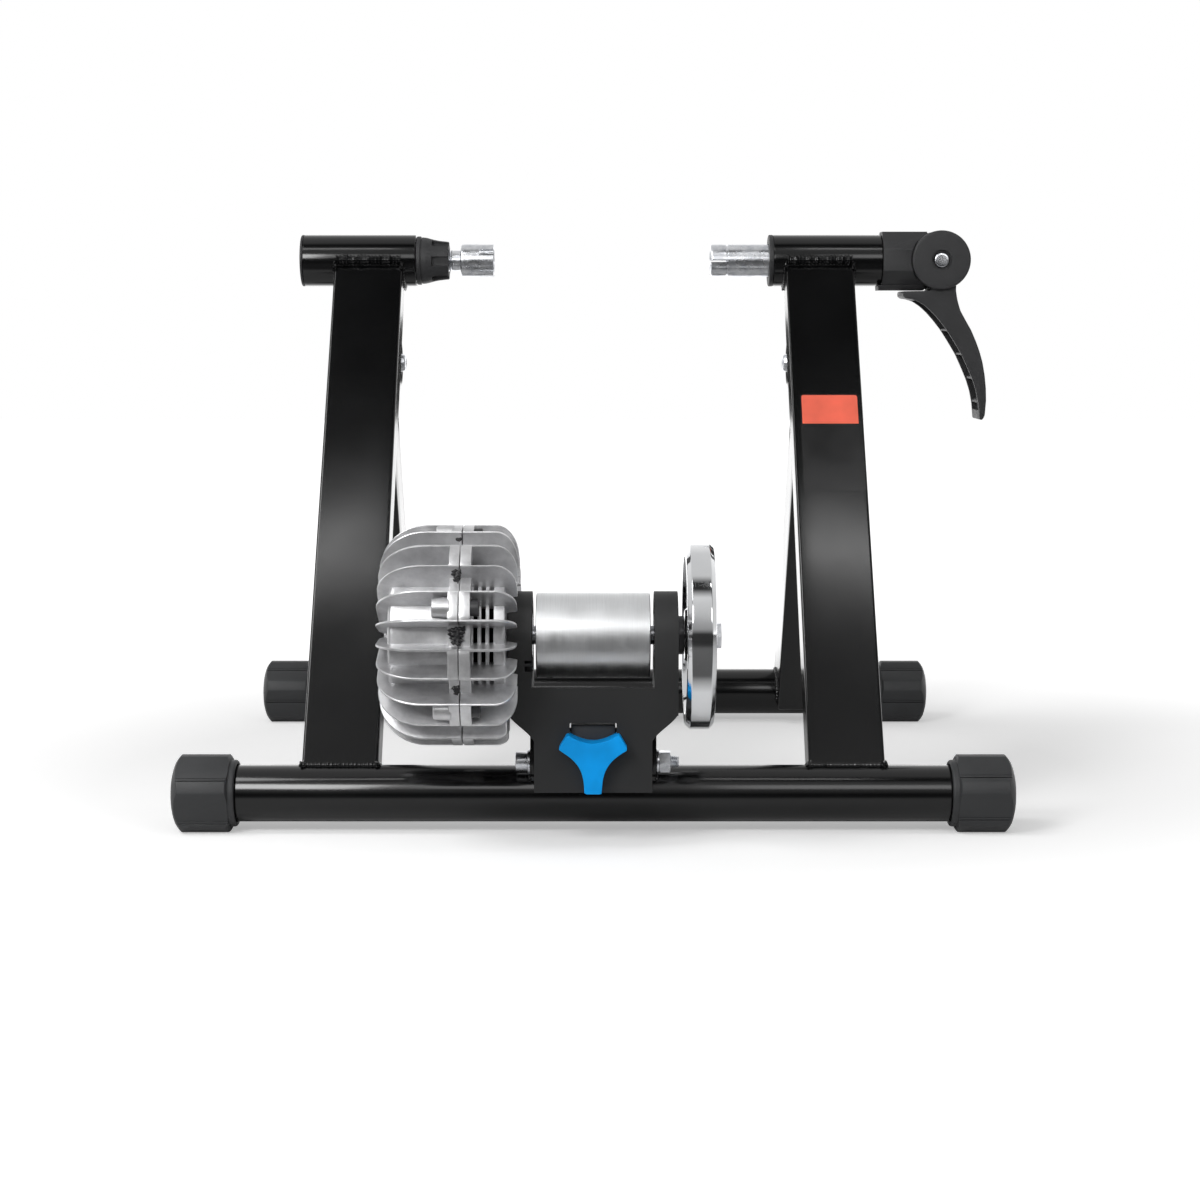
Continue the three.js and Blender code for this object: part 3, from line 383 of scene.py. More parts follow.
def booled(obj, others, operation):
    for other in others:
        step = obj.modifiers.new("bool", "BOOLEAN")
        step.operation = operation
        step.solver = "EXACT"
        step.object = other
    settled(obj)
    for other in others:
        bpy.data.objects.remove(other)
    return obj


def cut(obj, *others):
    return booled(obj, others, "DIFFERENCE")


def fused(obj, *others):
    return booled(obj, others, "UNION")


def joinedTo(obj, *others):
    whole = bmesh.new()
    for part in (obj, *others):
        whole.from_mesh(part.data)
    whole.to_mesh(obj.data)
    whole.free()
    for other in others:
        bpy.data.objects.remove(other)
    return obj


def softened(obj, width, segments=2, angle=35):
    edge = obj.modifiers.new("edge", "BEVEL")
    edge.width = width * mm
    edge.segments = segments
    edge.limit_method = "ANGLE"
    edge.angle_limit = math.radians(angle)
    return obj


def transformed(obj, matrix):
    shift = matrix.to_translation() * mm
    obj.data.transform(Matrix.Translation(shift) @ matrix.to_3x3().to_4x4())
    return obj


def dressed(obj, body, *nodes, angle=32):
    settled(obj)
    obj.data.shade_smooth()
    obj.data.set_sharp_from_angle(angle=math.radians(angle))
    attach(obj, body)
    if nodes:
        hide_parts(*nodes)
    return obj


# A whole turned piece in the place of its node
def turnedPiece(node, body, profile, radius, centre, finish, steps=64, closed=True, arcs=3, angle=32):
    piece = turned(node, rounded(profile, radius, arcs), centre, finish, steps, closed)
    return dressed(piece, body, node, angle=angle)


def rod(name, radius, low, high, centre, finish, steps=64):
    return turned(name, [(low, radius), (high, radius)], centre, finish, steps)


# Round bodies about the line through the centre along Y; the profile is a list of (y, radius)
def crossRod(name, radius, centre, low, high, finish, steps=96):
    return prism(name, arcPoints(centre.x, centre.z, radius, 0, 360, steps)[1:], "Y", low, high, finish)


def crossTurned(name, profile, centre, finish, steps=96):
    obj = turned(name, profile, Vector((0, 0, 0)), finish, steps)
    return transformed(obj, placed(centre.y, centre.z, math.pi / 2, centre.x, "Z"))


# A nut, or the six-sided hole of a key
def hexRod(name, radius, low, high, centre, finish):
    nut = prism(name, arcPoints(centre.y, centre.z, radius, 0, 300, 5), "X", low, high, finish)
    taper = radius * 0.12
    cone = turned("cone", [(low, radius * 0.9), (low + taper, radius * 1.02), (high - taper, radius * 1.02),
                           (high, radius * 0.9)], centre, finish)
    return booled(nut, [cone], "INTERSECT")


# A screw thread about the line through the centre along X
def threaded(name, radius, pitch, depth, low, high, centre, finish, steps=40, rowsPerTurn=6):
    rows = max(2, round((high - low) / pitch * rowsPerTurn))
    points = []
    for row in range(rows + 1):
        x = low + (high - low) * row / rows
        fade = min(1, (x - low) / pitch, (high - x) / pitch)
        for i in range(steps):
            angle = 2 * math.pi * i / steps
            phase = x / pitch - i / steps
            r = radius - depth * (1 - fade * (1 + math.cos(2 * math.pi * phase)) / 2)
            points.append((x, centre.y + r * math.cos(angle), centre.z + r * math.sin(angle)))
    return newObject(name, points, bandFaces(rows + 1, steps) + endFaces(rows + 1, steps), finish)


class Grove(Graph):
    # a geometry node tree with named inputs
    def __init__(self, name, inputs):
        super().__init__(bpy.data.node_groups.new(name, "GeometryNodeTree"))
        for way in ("INPUT", "OUTPUT"):
            self.tree.interface.new_socket("Geometry", in_out=way, socket_type="NodeSocketGeometry")
        for title, kind in inputs.items():
            self.tree.interface.new_socket(title, in_out="INPUT", socket_type=f"NodeSocket{kind}")
        self.entry = self.tree.nodes.new("NodeGroupInput")

    def given(self, title):
        return Wire(self.tree, self.entry.outputs[title])

    def ends(self, geometry):
        real = self.make("GeometryNodeRealizeInstances", values={"Geometry": geometry})
        coated = self.make("GeometryNodeSetMaterial", values={"Geometry": real, "Material": self.given("Finish")})
        self.tree.links.new(coated.socket, self.tree.nodes.new("NodeGroupOutput").inputs[0])
        return self.tree


# A plain mesh that a geometry node tree makes from a line of points and its named inputs
def grown(name, tree, inputs, path=()):
    mesh = bpy.data.meshes.new(name)
    mesh.from_pydata([Vector(p) * mm for p in path], [(i, i + 1) for i in range(len(path) - 1)], [])
    obj = bpy.data.objects.new(name, mesh)
    scene.collection.objects.link(obj)
    step = obj.modifiers.new("nodes", "NODES")
    step.node_group = tree
    for item in tree.interface.items_tree:
        if item.in_out == "INPUT" and item.name in inputs:
            step[item.identifier] = inputs[item.name]
    return settled(obj)


# Copies of one drawn piece, turned about the line through the centre along X
def radialTree():
    grove = Grove("aroundTheShaft", {"Copies": "Int", "First Angle": "Float", "Step Angle": "Float",
                                     "Centre": "Vector", "Piece": "Object", "Finish": "Material"})
    points = grove.make("GeometryNodePoints", values={
        "Count": grove.given("Copies"), "Position": grove.given("Centre")})
    index = grove.make("GeometryNodeInputIndex")
    turn = grove.given("First Angle") + index * grove.given("Step Angle")
    spin = grove.make("ShaderNodeCombineXYZ", values={"X": turn})
    piece = grove.make("GeometryNodeObjectInfo", values={"Object": grove.given("Piece")}, output="Geometry")
    return grove.ends(grove.make("GeometryNodeInstanceOnPoints", values={
        "Points": points, "Instance": piece, "Rotation": spin}))


# A bead laid along a line of points, with the ripples of a hand weld
def beadTree():
    grove = Grove("weldBead", {"Radius": "Float", "Ripple": "Float", "Ripple Length": "Float",
                               "Wander": "Float", "Seed": "Float", "Finish": "Material"})
    path = grove.make("GeometryNodeMeshToCurve", values={"Mesh": grove.given("Geometry")})
    even = grove.make("GeometryNodeResampleCurve", {"mode": "LENGTH"}, {"Curve": path, "Length": 0.0006})
    far = grove.make("GeometryNodeSplineParameter", output="Length")
    place = grove.make("GeometryNodeInputPosition")
    wild = grove.make("ShaderNodeTexNoise", {"noise_dimensions": "4D"}, {
        "Vector": place, "W": grove.given("Seed"), "Scale": 260.0})
    wave = (far / grove.given("Ripple Length") * (2 * math.pi)).maths("SINE")
    size = 1 + wave * grove.given("Ripple") + (wild - 0.5) * grove.given("Wander")
    circle = grove.make("GeometryNodeCurvePrimitiveCircle", values={
        "Resolution": 14, "Radius": grove.given("Radius")})
    sized = grove.make("GeometryNodeSetCurveRadius", values={"Curve": even, "Radius": size})
    return grove.ends(grove.make("GeometryNodeCurveToMesh", values={
        "Curve": sized, "Profile Curve": circle, "Fill Caps": True, "Scale": size}))


aroundTheShaft = radialTree()
weldBead = beadTree()


def around(piece, copies, firstDegrees, stepDegrees):
    copied = grown("copies", aroundTheShaft, {
        "Copies": copies, "First Angle": math.radians(firstDegrees), "Step Angle": math.radians(stepDegrees),
        "Centre": (0, rollerLine.y * mm, rollerLine.z * mm), "Piece": piece, "Finish": castFinish})
    bpy.data.objects.remove(piece)
    return copied


def bead(name, path, radius, seed, finish=weldPaint, ripple=0.16, wander=0.9):
    return grown(name, weldBead, {"Radius": radius * mm, "Ripple": ripple, "Ripple Length": 2.6 * mm,
                                  "Wander": wander, "Seed": float(seed), "Finish": finish}, path)


# The beads between two pieces, as one piece
def welded(name, body, beads, place=Matrix()):
    whole = joinedTo(*beads)
    whole.name = name
    dressed(transformed(whole, place), body, angle=60)


# A line over a tube along X, beside a leg of this half depth that stands on it
def saddle(x, half, radius, z, side, steps):
    return [(x, half * math.cos(a), z + side * (math.sqrt(radius ** 2 - (half * math.cos(a)) ** 2) + 0.2))
            for a in [math.pi * k / steps for k in range(steps + 1)]]


# Base tubes with their turning foot caps
footSizes = {"radius": 25.4, "padHeights": [24.6, 24, 23.5, 23, 22.5], "padTurn": 72, "length": 39.6,
             "boreGap": 0.6, "boreStart": 5.3, "lipRadius": 21.8, "lipEnd": 40.9, "lipRound": 1.7,
             # the outer end, then the step down to the lip, as distances in and radii
             "nose": [(0, 0), (0.05, 5), (0.4, 11), (1.1, 15.5), (2, 18.6), (2.9, 21), (4.2, 23), (5.6, 24.7),
                      (6.8, 25.9), (36.9, 25.9), (38.6, 23.2), (39.4, 22), (40, 22), (40, 0)],
             # angle, width and depth: each joint shows as a deep line with a fainter one below it
             "seams": [(-54, 0.7, 1.2), (-59, 0.35, 0.5)],
             "seamTurn": {"front_left_foot": -11, "front_right_foot": -18, "rear_left_foot": -39,
                          "rear_right_foot": -39}}


def baseTube(node, centre, body):
    low, high = boxOf(node)
    turnedPiece(node, body, tube(low.x, high.x, tubeRadius, 2), 0.5, centre, paint, 128, arcs=2)


def footOutline(centre):
    radius, half = footSizes["radius"], footSizes["padTurn"] / 2
    points = []
    for pad, height in enumerate(footSizes["padHeights"]):
        middle = -90 + pad * footSizes["padTurn"]
        flat = math.degrees(math.acos(height / radius))
        points += arcPoints(centre.y, centre.z, radius, middle - half, middle - flat, 5)
        points += arcPoints(centre.y, centre.z, radius, middle + flat, middle + half, 5)
    return points


# How far the outline is from the tube's line in a direction
def footReach(angle):
    heights, turn = footSizes["padHeights"], footSizes["padTurn"]
    pad, slant = divmod(angle + 90 + turn / 2, turn)
    return min(footSizes["radius"], heights[int(pad) % len(heights)] / math.cos(math.radians(slant - turn / 2)))


# The cap is drawn inwards from its outer end; side is -1 on the rider's left
def foot(node, side, centre):
    size = footSizes
    low, high = boxOf(node)
    end = low.x if side < 0 else high.x

    def span(first, last):
        return sorted((end - side * first, end - side * last))

    def roundBody(name, profile):
        return turned(name, [(end - side * far, r) for far, r in profile], centre, rubber)

    shell = prism(node, footOutline(centre), "X", *span(0, size["length"] - 1.2), rubber)
    booled(shell, [roundBody("nose", size["nose"])], "INTERSECT")
    seams = []
    for pad in range(len(size["padHeights"])):
        for start, wide, deep in size["seams"]:
            angle = start + size["padTurn"] * pad + size["seamTurn"][node]
            bottom = footReach(angle) - deep
            seam = prism("seam", rounded(corners(-wide / 2, bottom, wide / 2, bottom + 4), 0.1, 2), "X",
                         *span(-1, size["length"] + 1), rubber)
            seams.append(transformed(seam, placed(centre.y, centre.z, math.radians(angle) - math.pi / 2)))
    cut(shell, *seams)
    bend = size["lipRound"]
    lip = [(35, 0), (35, size["lipRadius"])]
    lip += arcPoints(size["lipEnd"], size["lipRadius"] - bend, bend, 90, -90, 10) + [(size["lipEnd"] + bend, 0)]
    fused(shell, roundBody("lip", lip))
    cut(shell, rod("bore", tubeRadius + size["boreGap"], *span(size["boreStart"], 50), centre, rubber, 96))
    dressed(softened(shell, 0.35, 2, 30), node.replace("foot", "cap"), node)


baseTube("front_base_tube", frontTube, "stand")
baseTube("rear_base_tube", rearTube, "rear_frame")
for end, centre in (("front", frontTube), ("rear", rearTube)):
    for word, side in (("left", -1), ("right", 1)):
        foot(f"{end}_{word}_foot", side, centre)
print("base tubes and feet made")


# Uprights, drawn in the leaning frame: z runs up the box tube from the front tube
boxTube = {"depth": 25, "corner": 2, "legDepth": 50, "legWall": 1.8, "legCorner": 3}
# how far the front and back beads stand out and up, and their radius
uprightBeads = {"foot": (0.25, 0.45, 2.1), "head": (2.6, -3.3, 3.7)}


def upright(node):
    low, high = boxOf(node)
    outline = rounded(corners(low.x, -boxTube["depth"] / 2, high.x, boxTube["depth"] / 2), boxTube["corner"], 6)
    bar = prism(node, outline, "Z", 0, uprightLength, paint)
    cut(bar, *[rod("end", radius - 0.1, low.x - 5, high.x + 5, Vector((0, 0, z)), paint, 96)
               for radius, z in ((tubeRadius, 0), (holderRadius, uprightLength))])
    dressed(transformed(bar, uprightFrame), "stand", node, angle=20)


# Rippled beads where the uprights meet the tubes: along the front and back faces and down both sides
def uprightWelds(word, seed):
    low, high = boxOf(f"{word}_upright")
    reach = boxTube["depth"] / 2
    beads = []
    for end, z, side, radius in (("foot", 0, 1, tubeRadius), ("head", uprightLength, -1, holderRadius)):
        rise = math.sqrt(radius ** 2 - reach ** 2)
        out, up, thick = uprightBeads[end]
        for face in (-1, 1):
            y = face * (reach + out)
            height = z + side * (rise + up)
            beads.append(bead("seam", line((low.x + 1.2, y, height), (high.x - 1.2, y, height), 24), thick, seed))
            for x in (low.x + 0.6, high.x - 0.6):
                beads.append(bead("blob", [(x - 1.4, face * (reach + 0.5), z + side * (rise - 0.2)),
                                           (x + 1.4, face * (reach + 0.3), z + side * (rise + 0.5))],
                                  3.1, seed + 3, wander=0.5))
        for x in (low.x - 0.2, high.x + 0.2):
            beads.append(bead("side", saddle(x, reach, radius, z, side, 12), 1.5, seed + 7))
    welded(f"{word}UprightWelds", "stand", beads, uprightFrame)


# Blank label on the right upright: a black sheet with a coral block at its top
def sticker():
    low, high = boxOf("right_upright")
    face = -boxTube["depth"] / 2
    left, right = low.x + 5.6, high.x - 1.4
    for name, outline, radii, front, back, finish in (
            ("sticker", corners(left, 221.9, right, 301.9), [2, 2, 2.6, 2.6], 0.12, -0.05, labelBlack),
            ("stickerBlock", corners(left + 1.1, 277.2, right - 2.3, 301.1), [0.2, 0.2, 1.9, 1.9], 0.18, 0.1,
             labelCoral)):
        sheet = prism(name, rounded(outline, radii, 4), "Y", face - front, face - back, finish)
        dressed(transformed(sheet, uprightFrame), "stand")


sticker()
for word, seed in (("left", 2), ("right", 9)):
    upright(f"{word}_upright")
    uprightWelds(word, seed)
print("uprights made")


# Folding hinge: a bent sheet bracket behind each upright with a bolt through the rear leg
hinge = {"sheet": 3, "gap": 0.3, "below": 34, "above": 26, "ear": 17, "headRadius": 6.7, "headLength": 3.6,
         "boltRadius": 4, "nutLength": 6.5, "threadPast": 2, "spacer": 9, "keyRadius": 2.9, "nutRadius": 7.5}
hingeLocal = uprightFrame.inverted() @ Vector((0, foldLine.y, foldLine.z))


def hingeBracket(word, seed):
    node = f"{word}_hinge_bracket"
    low, high = boxOf(node)
    sheet, below, above = hinge["sheet"], hinge["below"], hinge["above"]
    face = boxTube["depth"] / 2 + hinge["gap"]
    y, z = hingeLocal.y, hingeLocal.z
    outline = [(face, z - below), (y, z - below)] + arcPoints(y, z, hinge["ear"], -70, 90, 16) + [(face, z + above)]
    body = prism(node, outline, "X", low.x, high.x, paint)
    hollow = prism("hollow", corners(face + sheet, z - 60, y + 40, z + 60), "X", low.x + sheet, high.x - sheet, paint)
    cut(body, hollow, rod("hole", hinge["boltRadius"] + 0.3, low.x - 2, high.x + 2, Vector((0, y, z)), paint, 32))
    dressed(transformed(softened(body, 0.7, 2, 40), uprightFrame), "stand", node)
    beads = [bead("seam", line((x, face + 0.2, z - below + 4), (x, face + 0.2, z + above - 4), 20), 1.6, seed + x)
             for x in (low.x + 1, high.x - 1)]
    welded(f"{word}HingeBracketWelds", "stand", beads, uprightFrame)


def hingeHardware(word, side):
    low, high = boxOf(f"{word}_hinge_bracket")
    near, far = (low.x, high.x) if side > 0 else (high.x, low.x)
    radius, length = hinge["headRadius"], hinge["headLength"]
    head = [(0.3, 0), (0.3, radius), (length, radius - 1), (length + 0.3, 0)]
    bolt = turned(f"{word}_hinge_bolt", rounded([(near - side * out, r) for out, r in head], [0, 0.3, 1.4, 0], 4),
                  foldLine, zinc, 48)
    cut(bolt, hexRod("socket", hinge["keyRadius"], *sorted((near - side * (length + 1), near - side * 2.2)),
                     foldLine, zinc))
    nutStart, nutEnd = far + side * 0.3, far + side * (0.3 + hinge["nutLength"])
    joinedTo(bolt, threaded("shank", hinge["boltRadius"], 1.25, 0.6,
                            *sorted((near - side, nutEnd + side * hinge["threadPast"])), foldLine, zinc, 24, 4))
    dressed(bolt, "stand", f"{word}_hinge_bolt")
    dressed(hexRod(f"{word}_hinge_nut", hinge["nutRadius"], *sorted((nutStart, nutEnd)), foldLine, zinc),
            "stand", f"{word}_hinge_nut")
    for place in ("inner", "outer"):
        node = f"{word}_{place}_hinge_spacer"
        low, high = boxOf(node)
        spacer = turned(f"{word}_{place}_spacer", rounded(ring(low.x, high.x, 4.4, hinge["spacer"]), 0.4, 3),
                        foldLine, nylon, 48, True)
        dressed(spacer, "stand", node)


# Rear leg, drawn in its own leaning frame: the rounded end turns on the bolt
def rearLeg(word, seed):
    node = f"{word}_rear_leg"
    low, high = boxOf(node)
    half, wall = boxTube["legDepth"] / 2, boxTube["legWall"]
    opened = lean + rearLean
    bevelTop = half * (1 + math.cos(opened)) / math.sin(opened)
    outline = [(-half, -rearLegLength)] + arcPoints(0, 0, half, 180, 180 - math.degrees(opened), 24)
    outline += [(half, bevelTop), (half, -rearLegLength)]
    leg = prism(node, outline, "X", low.x, high.x, paint)
    settled(softened(leg, boxTube["legCorner"], 4, 40))
    core = prism("core", corners(-half + wall, -rearLegLength - 9, half - wall, bevelTop + 9), "X",
                 low.x + wall, high.x - wall, paint)
    foot = rod("foot", tubeRadius - 0.1, low.x - 5, high.x + 5, Vector((0, 0, -rearLegLength)), paint, 96)
    bolt = rod("bolt", hinge["boltRadius"] + 0.3, low.x - 5, high.x + 5, Vector((0, 0, 0)), paint, 32)
    cut(leg, core, foot, bolt)
    dressed(transformed(leg, rearFrame), "rear_frame", node)
    height = -rearLegLength + 5.4
    beads = [bead("seam", line((low.x + 1, face * 17.6, height), (high.x - 1, face * 17.6, height), 16), 1.8, seed)
             for face in (-1, 1)]
    beads += [bead("side", saddle(x, 17.4, tubeRadius, -rearLegLength, 1, 16), 1.6, seed + 2)
              for x in (low.x - 0.1, high.x + 0.1)]
    welded(f"{word}RearLegWelds", "rear_frame", beads, rearFrame)


for word, side in (("left", -1), ("right", 1)):
    hingeBracket(word, 3 + side)
    hingeHardware(word, side)
    rearLeg(word, 5 + side)
print("hinges and rear legs made")


# Left axle holder: plug, tube, turning collar, threaded spindle and the cup for the axle end
holderWall = 2.2
bushRadius = 15.7
collarSizes = {"ring": 3.2, "baseRadius": 17.1, "ringRadius": 17.75, "tipRadius": 13.75, "bore": 8.7}
collarSlots = {"count": 6, "width": 6.6, "bottom": 12.2, "top": 22, "flare": 0.5, "corner": 0.6, "length": 12.3,
               "turn": 3}
cupSizes = {"boreRadius": 9.2, "boreDepth": 17, "grooveDepth": 1.5}
cupGrooves = {"count": 6, "width": 4.4, "flare": 0.4, "corner": 0.7, "length": 10.6, "turn": 30}


# Cuts grooves all round the axle line into the end of a piece that faces right
def grooved(piece, size, end, bottom, top):
    half, flare, corner = size["width"] / 2, size["flare"], size["corner"]
    outline = rounded([(-half, bottom), (half, bottom), (half + flare, top), (-half - flare, top)],
                      [corner, corner, 0, 0], 3)
    tools = []
    for i in range(size["count"]):
        turn = math.pi / 2 + math.radians(size["turn"]) + math.tau * i / size["count"]
        groove = prism("groove", outline, "X", end - size["length"], end + 2, piece.data.materials[0])
        tools.append(transformed(groove, placed(axleLine.y, axleLine.z, turn)))
    return cut(piece, *tools)


def leftHolder():
    low, high = boxOf("left_axle_tube")
    turnedPiece("left_axle_tube", "stand", tube(low.x, high.x, holderRadius, holderWall), [0.5, 1, 0.6, 0.5],
                axleLine, paint, 128, arcs=4)
    plugLow, plugHigh = boxOf("left_tube_plug")
    profile = [(plugLow.x + 0.9, 0), (plugLow.x + 0.9, 11), (plugLow.x, 12.5), (plugLow.x, holderRadius),
               (low.x - 0.3, holderRadius), (low.x - 0.3, bushRadius), (plugHigh.x, 15.5), (plugHigh.x, 0)]
    turnedPiece("left_tube_plug", "stand", profile, [0, 1, 0.8, 1.2, 0.2, 0.2, 0.5, 0], axleLine, nylon, 96,
                False, 4)
    low, high = boxOf("adjuster_bush")
    turnedPiece("adjuster_bush", "stand", ring(low.x, high.x, collarSizes["bore"], bushRadius), 0, axleLine, zinc)


def collar():
    size = collarSizes
    low, high = boxOf("adjuster_collar")
    mid, base, bore = low.x + size["ring"], size["baseRadius"], size["bore"]
    profile = [(low.x, bore), (low.x, size["ringRadius"]), (mid, size["ringRadius"]), (mid, base - 0.4),
               (mid + 0.7, base - 0.4), (mid + 0.9, base), (mid + 4, base - 0.3), (high.x - 9, 14.7),
               (high.x, size["tipRadius"]), (high.x, bore)]
    cone = turned("adjuster_collar", rounded(profile, [0.3, 1, 0.8, 0.2, 0.2, 0.4, 6, 6, 0.7, 0.3], 5), axleLine,
                  nylon, 120, True)
    grooved(cone, collarSlots, high.x, collarSlots["bottom"], collarSlots["top"])
    dressed(softened(cone, 0.25, 2, 40), "collar", "adjuster_collar", angle=30)


def adjuster():
    low, high = boxOf("adjuster_spindle")
    radius = radiusOf("adjuster_spindle")
    collarEnd = boxOf("adjuster_collar")[1].x
    screw = threaded("adjuster_spindle", radius, 2, 1.0, collarEnd - 26, collarEnd + 3.4, axleLine, zinc, 64, 8)
    plain = turned("plain", [(collarEnd + 3, 0), (collarEnd + 3, radius - 0.9), (high.x - 0.2, radius - 0.9),
                             (high.x, radius - 1.6), (high.x, 0)], axleLine, zinc, 64)
    back = turned("back", rounded(ring(low.x, collarEnd - 25.6, 0, radius - 0.8), [0, 1, 0.1, 0], 3), axleLine,
                  zinc, 64)
    dressed(joinedTo(screw, plain, back), "adjuster", "adjuster_spindle")
    size = cupSizes
    low, high = boxOf("adjuster_cup")
    radius = radiusOf("adjuster_cup")
    floor = high.x - size["boreDepth"]
    profile = [(low.x, 0), (low.x, radius), (high.x, radius), (high.x, size["boreRadius"]),
               (floor, size["boreRadius"]), (floor, 0)]
    cup = turned("adjuster_cup", rounded(profile, [0, 1.3, 0.5, 0.4, 0.5, 0], 5), axleLine, zinc, 120)
    grooved(cup, cupGrooves, high.x, radius - size["grooveDepth"], radius + 4)
    dressed(softened(cup, 0.3, 2, 40), "adjuster", "adjuster_cup", angle=30)


leftHolder()
collar()
adjuster()
print("left axle holder made")


# Right axle holder: tube with its bush, plain spindle, clamp housing, lever and pin
spindleSizes = {"bore": 8, "boreDepth": 18, "slotWidth": 1.6, "slotLength": 12, "slotDrop": 0.4, "ringFrom": 11.7,
                "ringWidth": 1.3, "flange": 3.4, "bushBore": 12.3, "tail": 6, "tailFrom": 58}
housingSizes = {"flat": 16.4, "length": 33, "recess": 22.1, "tongue": 18, "tongueHalf": 14.7, "sill": 3.9}
leverSizes = {"halfWidth": 17.5, "wall": 2.4, "ribs": 4, "firstRib": 51, "ribPitch": 17.6, "ribThickness": 1.6,
              "ribRoot": 7, "ribShorter": 0.9, "ribRise": 2.4, "hubRadius": 21.5, "slot": 15.3, "pinHead": 7.4}
# the grip's outline in millimetres from the hub centre: out along the back, home along the front
leverBack = [(11.7, -16), (11.5, -22), (12.7, -29), (14.9, -36.5), (18.8, -43.5), (23.2, -51), (26.9, -59.3),
             (29.8, -67), (32, -74.5), (33.8, -84), (34.9, -94), (35.2, -103), (34.4, -114)]
leverFront = [(32.6, -117), (30.8, -116.8), (30.3, -111), (29.6, -104.7), (27.8, -96), (25, -87.6), (21, -78.4),
              (16.6, -69), (11, -59.8), (5, -50.6), (-0.4, -43.8), (-5.8, -37.8), (-10.7, -33.4), (-16, -29.9),
              (-21.6, -28.2), (-25.2, -27.8), (-27.2, -26.4), (-27.2, -22.6), (-7, -22.3), (-4.7, -17)]


def rightHolder():
    low, high = boxOf("right_axle_tube")
    flange = spindleSizes["flange"]
    turnedPiece("right_axle_tube", "stand", tube(low.x + flange, high.x, holderRadius, holderWall),
                [0.6, 0.5, 0.5, 0.5], axleLine, paint, 128, arcs=4)
    end, bore = boxOf("spindle_bush")[1].x, spindleSizes["bushBore"]
    profile = [(low.x, bore), (low.x, holderRadius + 0.1), (low.x + flange - 0.1, holderRadius + 0.1),
               (low.x + flange - 0.1, bushRadius), (end, bushRadius), (end, bore)]
    turnedPiece("spindle_bush", "stand", profile, [0.4, 1.1, 0.7, 0.2, 0.5, 0.3], axleLine, nylon, 128, arcs=5)


def clampSpindle():
    low, high = boxOf("clamp_spindle")
    radius = radiusOf("clamp_spindle")
    size = spindleSizes
    bore, floor = size["bore"], low.x + size["boreDepth"]
    mark, markEnd = low.x + size["ringFrom"], low.x + size["ringFrom"] + size["ringWidth"]
    back = boxOf("right_axle_tube")[0].x + size["tailFrom"]
    profile = [(floor, 0), (floor, bore), (low.x, bore), (low.x, radius), (mark, radius), (mark, radius - 1),
               (markEnd, radius - 1), (markEnd, radius), (back, radius), (back, size["tail"]),
               (high.x, size["tail"]), (high.x, 0)]
    spindle = turned("clamp_spindle", rounded(profile, [0, 0.3, 0.5, 1.8, 0.25, 0.1, 0.1, 0.25, 1, 0.3, 0.6, 0], 4),
                     axleLine, zinc, 120)
    middle, half = axleLine.z - size["slotDrop"], size["slotWidth"] / 2
    cut(spindle, prism("slot", corners(axleLine.y - 20, middle - half, axleLine.y + 20, middle + half), "X",
                       low.x - 2, low.x + size["slotLength"], zinc))
    dressed(softened(spindle, 0.15, 2, 50), "clamp", "clamp_spindle", angle=30)


def clampHousing():
    start = boxOf("right_axle_tube")[1].x + 0.3
    half, flat = radiusOf("clamp_housing"), housingSizes["flat"] / 2
    face = start + housingSizes["length"]
    y, z, hub = axleLine.y, axleLine.z, hubLine
    bottom = z - half - 0.9
    sill = prism("sill", rounded([(y - flat - 2, bottom), (y + flat + 2, bottom),
                                  (y + flat + 4, bottom + housingSizes["sill"]),
                                  (y - flat - 4, bottom + housingSizes["sill"])], 0.4, 2),
                 "X", start - 2.4, face - 2, nylon)
    outline = [(y - half, z - flat), (y - flat, z - half), (y + flat, z - half), (y + half, z - flat),
               (y + half, z + flat), (y + flat, z + half), (y - flat, z + half), (y - half, z + flat)]
    body = prism("clamp_housing", rounded(outline, 0.8, 4), "X", start, face, nylon)
    cut(body, *[crossRod("room", housingSizes["recess"], hub, y + a, y + b, nylon) for a, b in ((-40, -15), (15, 40))])
    reach, tongueHalf = housingSizes["tongue"], housingSizes["tongueHalf"]
    tongueOutline = [(face - 2, z - reach)] + arcPoints(hub.x, z, reach, -90, 90, 24) + [(face - 2, z + reach)]
    tongue = prism("tongue", tongueOutline, "Y", y - tongueHalf, y + tongueHalf, nylon)
    spigot = rod("spigot", 15.75, start - 12, start + 1, axleLine, nylon)
    fused(body, tongue, spigot, cut(sill, rod("tube", holderRadius + 0.2, start - 5, start, axleLine, nylon)))
    cut(body, rod("tail", 6.4, start - 20, hub.x, axleLine, nylon),
        crossRod("pinHole", 4.4, hub, y - 30, y + 30, nylon))
    dressed(softened(body, 0.45, 2, 30), "stand", "clamp_housing", angle=30)


